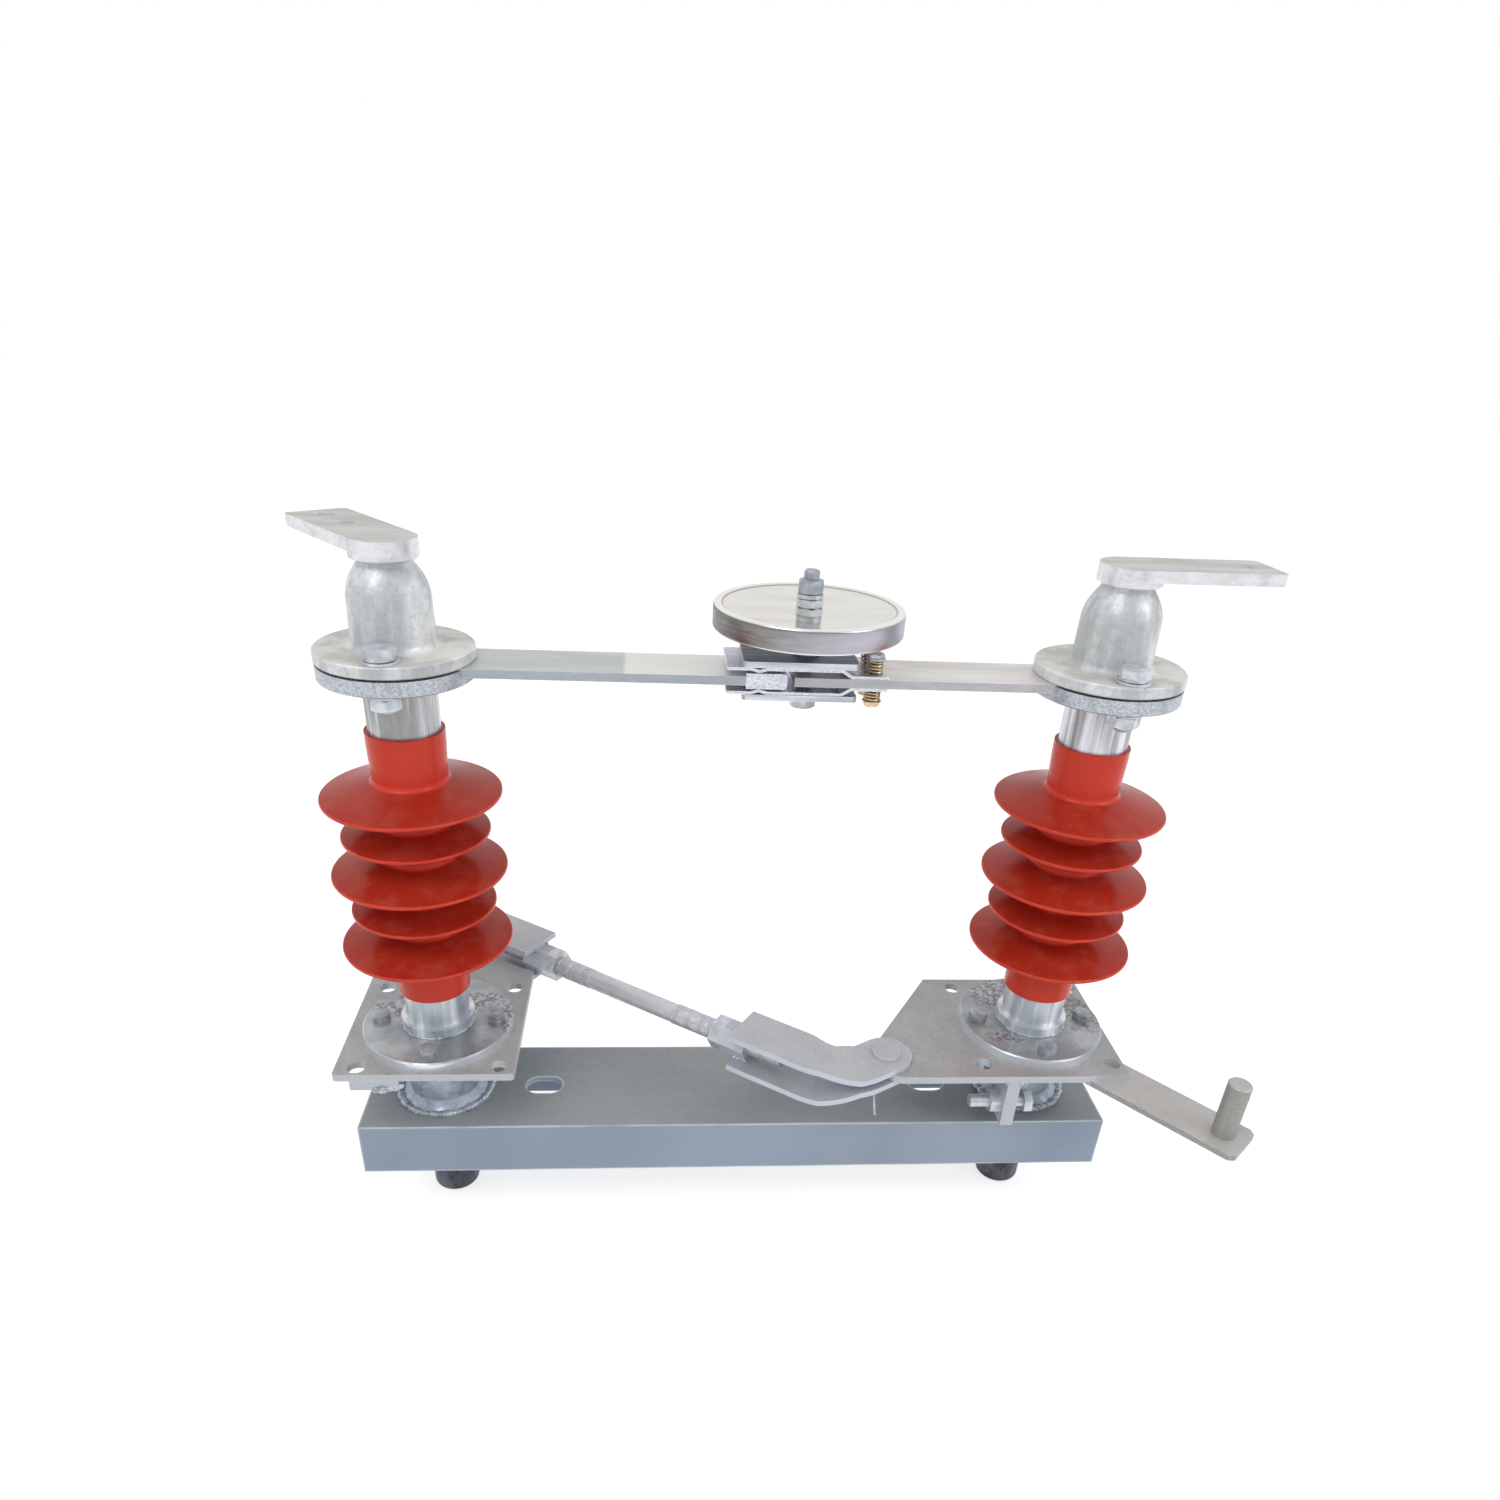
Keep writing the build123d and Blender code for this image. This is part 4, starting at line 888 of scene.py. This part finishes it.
# The sprung contact and the cover on its stud
def both_springs(mesh):
    """The same thing on both spring bolts."""
    places = {"Step": SPRING_STEP * MM, "Centre": FIRST_SPRING * MM}
    return grown(repeat, mesh.materials[0], start=mesh, Count=2, **places)


def make_springs():
    """Coil springs above and below the heels of the fingers."""
    sets = []
    for foot in (367.9, 348.9):
        coil = grown(winding, yellow_zinc, Coil_Radius=5.1 * MM, Height=7.6 * MM, Turns=3.6, Steps=28,
                     Wire_Radius=0.7 * MM, Wire_Sides=8, Foot=(0, 0, foot * MM))
        sets.append(both_springs(coil))
    piece("finger_spring_set", "right_column", sets, ["finger_springs"])


def make_finger_bolts():
    """The bolts through the springs: dark stems, bright heads above, brass-coloured nuts below."""
    head = joined([
        disc(bolt_zinc, 6.6, 376.2, 377.2, bore=3.1, edge=0.2, steps=40),
        hexagon(bolt_zinc, 10, 377.2, 380.2, point=10),
    ])
    stem = disc(cap_steel, 3.0, 349.0, 377.4, edge=0.3, steps=24)
    nut = joined([
        disc(yellow_zinc, 6.4, 347.0, 348.2, bore=3.1, edge=0.2, steps=40),
        hexagon(yellow_zinc, 10, 344.2, 347.0, cut_low=True, point=-5),
    ])
    sets = [both_springs(mesh) for mesh in (head, stem, nut)]
    piece("finger_bolt_set", "right_column", sets, ["finger_bolts"])


def make_cover_stud():
    """The threaded stud with its head below, the washer on the clamp and the nut under the cover's roof."""
    at = (STUD_X, 0, 0)
    parts = [
        hexagon(bolt_zinc, 16, 338.7, 349.2, at=at, cut_low=True, cut_high=False, point=5),
        disc(dull_zinc, 5.0, 349.0, 429.8, edge=0.9, at=at, steps=40),
        disc(bolt_zinc, 9.5, 375.2, 377.2, bore=5.1, edge=0.4, at=at),
        hexagon(bolt_zinc, 16, 396.0, 404.3, at=at, cut_low=True, point=12),
        thread(bolt_zinc, 4.85, 377.4, 396.4, 1.5, at),
        thread(dull_zinc, 4.85, 422.8, 429.0, 1.5, at),
    ]
    piece("cover_stud_set", "right_column", parts, ["cover_stud"])


def make_cover_nuts():
    """A thin nut on the cover, a split washer and a full nut above it."""
    at = (STUD_X, 0, 0)
    parts = [
        hexagon(bolt_zinc, 16, 406.4, 411.9, at=at, cut_low=True, point=3),
        spring_washer(bolt_zinc, 5.2, 8.6, 412.0, 2.4, at=at),
        hexagon(dull_zinc, 16, 415.2, 423.6, at=at, cut_low=True, point=-10),
    ]
    piece("cover_nut_set", "right_column", parts, ["cover_nuts"])


def make_cover():
    """The spun rain cover: flat roof, low bead along its edge, upright rim with a turned lip."""
    outline = [(5.2, 404.4), (5.2, 406.4), (20.0, 406.4), (40.0, 406.4), (55.0, 406.4), (57.0, 406.4)]
    for step in range(1, 6):
        share = step / 6
        outline.append((57.0 + 1.7 * share, 406.4 + 1.2 * (3 * share ** 2 - 2 * share ** 3)))
    outline += [(58.7, 407.6), (61.2, 407.6), *arc(61.2, 405.6, 2.0, 90, 0, 6)]
    outline += [(63.2, 404.4), (63.2, 392.7), (62.9, 392.2), (61.5, 392.2), (61.2, 392.7), (61.2, 402.4)]
    outline += arc(59.2, 402.4, 2.0, 0, 90, 6)
    mesh = lathe(cover_steel, outline, steps=160, at=(STUD_X, 0, 0))
    piece("spun_rain_cover", "right_column", [mesh], ["rain_cover"], sharp=50.0)


# The cross link
def make_link_threads():
    """Screw threads near both ends of the rod and inside the forks, and the short bit of rod that bridges
    the parted end when the switch is closed."""
    rod_half = [disc(rod_zinc, 8.0, -80.4, -77.4, edge=0.2, at=LINK_MID, turn=LINK_TURN, steps=40)]
    for low, high in ((-80.0, -45.0), (41.0, 80.5), (113.0, 142.0)):
        rod_half.append(thread(rod_zinc, 7.9, low, high, 2.0, LINK_MID, LINK_TURN))
    piece("rod_threads", "link_rod_half", rod_half)
    end = thread(rod_zinc, 7.9, -142.0, -113.0, 2.0, LINK_MID, LINK_TURN)
    piece("rod_end_threads", "link_left_half", [end])


def make_split_pins():
    """A split pin in the tail of each crank pin, its long legs bent down."""
    eye = [(6.5, 0, 48.7), (8.5, 1.6, 48.9), (12.0, 2.2, 49.0), (13.6, 0, 49.0),
           (12.0, -2.2, 49.0), (8.5, -1.6, 48.9), (6.5, 0, 48.7)]
    front = [(7, -0.4, 48.7), (-6.2, -0.4, 48.7), (-7.6, -1, 47.4), (-7.2, -3, 41), (-5.2, -10.6, 18)]
    back = [(7, 0.4, 48.7), (-6, 0.4, 48.7), (-8.6, 1.4, 47.8), (-9.2, 4.5, 43), (-9.4, 6, 38)]
    for side, x, y, turn in (("right", 111, -44, 0), ("left", -284, 129, math.pi)):
        whole = joined([wire(bolt_zinc, points, 0.95) for points in (eye, front, back)])
        whole.transform(Matrix.Translation((x * MM, y * MM, 0)) @ Matrix.Rotation(turn, 4, "Z"))
        piece(f"{side}_split_pin", f"{side}_column", [whole])


# Weld beads
def bead(points, width, ripple=1.9, seed=3, closed=False):
    """A bead along a line of points in millimetres."""
    path = bpy.data.meshes.new("path")
    count = len(points)
    edges = [(index, (index + 1) % count) for index in range(count if closed else count - 1)]
    path.from_pydata([Vector(point) * MM for point in points], edges, [])
    sizes = {"Ripple": ripple * MM, "Width": width * MM, "Unevenness": 0.28}
    return grown(weld_bead, weld_silver, start=path, Seed=seed, **sizes)


def ring_bead(x, radius, height, width, ripple, seed):
    """A bead round a column."""
    angles = [math.tau * step / 72 for step in range(72)]
    points = [(x + radius * math.cos(angle), radius * math.sin(angle), height) for angle in angles]
    return bead(points, width, ripple, seed, closed=True)


def make_beads():
    for side, x in SIDES:
        piece(f"{side}_housing_bead", "base", [ring_bead(x, 36.6, 6.2, 3.0, 2.3, 5)])
        collar = ring_bead(x, 27.6, 74.0, 1.1, 1.3, 8)
        boss = ring_bead(x, 25.4, 60.0, 2.2, 1.9, 11)
        piece(f"{side}_column_beads", f"{side}_column", [collar, boss])
    lever = bead([(270.5, -66.0, 59.9), (259.5, -53.5, 59.9), (248.0, -40.0, 59.9)], width=2.6)
    tab_left = bead([(204.3, -66.5, 60.2), (204.3, -44, 60.2)], width=2.2, seed=4)
    tab_right = bead([(214.7, -66.5, 60.2), (214.7, -44, 60.2)], width=2.2, seed=6)
    piece("right_plate_beads", "right_column", [lever, tab_left, tab_right])
    stub = bead([(-277, -60.9, 52.8), (-268, -60.6, 52.9), (-259.5, -58.0, 54.0)], width=2.8, seed=9)
    piece("left_stub_bead", "left_column", [stub])
    for side, body, sign in (("right", "link_rod_half", 1), ("left", "link_left_half", -1)):
        beads = []
        for up in (-11.9, 11.9):
            for across in (-7.6, 7.6):
                line = [along_link(sign * distance, across, up) for distance in (103.4, 112.6)]
                beads.append(bead(line, width=1.8, ripple=1.5, seed=int(20 + across)))
        piece(f"{side}_fork_beads", body, beads)


for side, x in SIDES:
    make_bell(side, x)
    make_head_bolts(side, x)
    make_flange_bolts(side, x)
make_springs()
make_finger_bolts()
make_cover_stud()
make_cover_nuts()
make_cover()
make_link_threads()
make_split_pins()
make_beads()


# Floor, light and camera
def make_floor():
    """A plain white floor under the bearing caps; it keeps the shadow."""
    low = cad_box[0].z
    reach = 9.0
    mesh = bpy.data.meshes.new("floor")
    corners = [(x * reach, y * reach, low) for x, y in ((-1, -1), (1, -1), (1, 1), (-1, 1))]
    mesh.from_pydata(corners, [], [(0, 1, 2, 3)])
    material = bpy.data.materials.new("white_floor")
    tree = bare_tree(material)
    matte = place(tree, "ShaderNodeBsdfDiffuse", {"Color": (0.55, 0.55, 0.55, 1)})
    path = place(tree, "ShaderNodeLightPath").outputs
    seen = calc(tree, "ADD", path["Is Camera Ray"], path["Is Glossy Ray"])
    seen = calc(tree, "ADD", seen, path["Is Transmission Ray"], clamp=True)
    glow = place(tree, "ShaderNodeEmission", {"Color": (1, 1, 1, 1), "Strength": times(tree, seen, 0.7)})
    both = place(tree, "ShaderNodeAddShader", {0: matte.outputs[0], 1: glow.outputs[0]})
    place(tree, "ShaderNodeOutputMaterial", {"Surface": both.outputs[0]})
    mesh.materials.append(material)
    in_scene("floor", mesh)


def make_world():
    """White where the camera looks, an even room for soft light, and a room with a dimmer front for metal."""
    world = bpy.data.worlds.new("studio_room")
    bpy.context.scene.world = world
    tree = bare_tree(world)
    way = place(tree, "ShaderNodeTexCoord").outputs["Generated"]
    lean = vectors(tree, "DOT_PRODUCT", way, (-0.25, 0.72, 0.65), output="Value")
    inputs = {"Value": lean, "From Min": -0.75, "From Max": 0.35, "To Min": 0.35, "To Max": 0.86}
    room = make(tree, "ShaderNodeMapRange", inputs)
    path = place(tree, "ShaderNodeLightPath").outputs
    level = make(tree, "ShaderNodeMix", {0: path["Is Diffuse Ray"], 2: room, 3: 0.68})
    strength = make(tree, "ShaderNodeMix", {0: path["Is Camera Ray"], 2: level, 3: 1.0})
    back = place(tree, "ShaderNodeBackground", {"Color": (1, 1, 1, 1), "Strength": strength})
    place(tree, "ShaderNodeOutputWorld", {"Surface": back.outputs[0]})


def make_lamp(name, spot, target, size, power):
    lamp = bpy.data.lights.new(name, "AREA")
    lamp.size = size
    lamp.energy = power
    holder = in_scene(name, lamp)
    holder.location = spot
    holder.rotation_euler = (Vector(target) - Vector(spot)).to_track_quat("-Z", "Y").to_euler()


def make_camera():
    """The photograph's viewpoint, found from points measured on the object."""
    yaw, pitch, roll = (math.radians(angle) for angle in (5.6, 29.56, -3.28))
    forward = Vector((math.sin(yaw) * math.cos(pitch), math.cos(yaw) * math.cos(pitch), -math.sin(pitch)))
    level = Vector((math.cos(yaw), -math.sin(yaw), 0))
    down = forward.cross(level)
    right = math.cos(roll) * level + math.sin(roll) * down
    below = math.cos(roll) * down - math.sin(roll) * level
    camera = bpy.data.cameras.new("photo_camera")
    camera.sensor_width = 36.0
    camera.lens = 24.755
    camera.shift_x = 0.0029
    camera.shift_y = 0.0955
    camera.clip_start = 0.01
    holder = in_scene("photo_camera", camera)
    turn = Matrix((right, -below, -forward)).transposed().to_4x4()
    holder.matrix_world = Matrix.Translation((-0.0687, -0.6744, 0.5741)) @ turn
    bpy.context.scene.camera = holder


make_floor()
make_world()
make_lamp("window_lamp", (-0.9, -1.0, 1.9), (0, 0, 0.2), 1.1, 12.0)
make_lamp("side_lamp", (1.5, -0.9, 1.3), (0, 0, 0.25), 0.9, 9.0)
make_camera()
bpy.context.scene.view_settings.view_transform = "Standard"
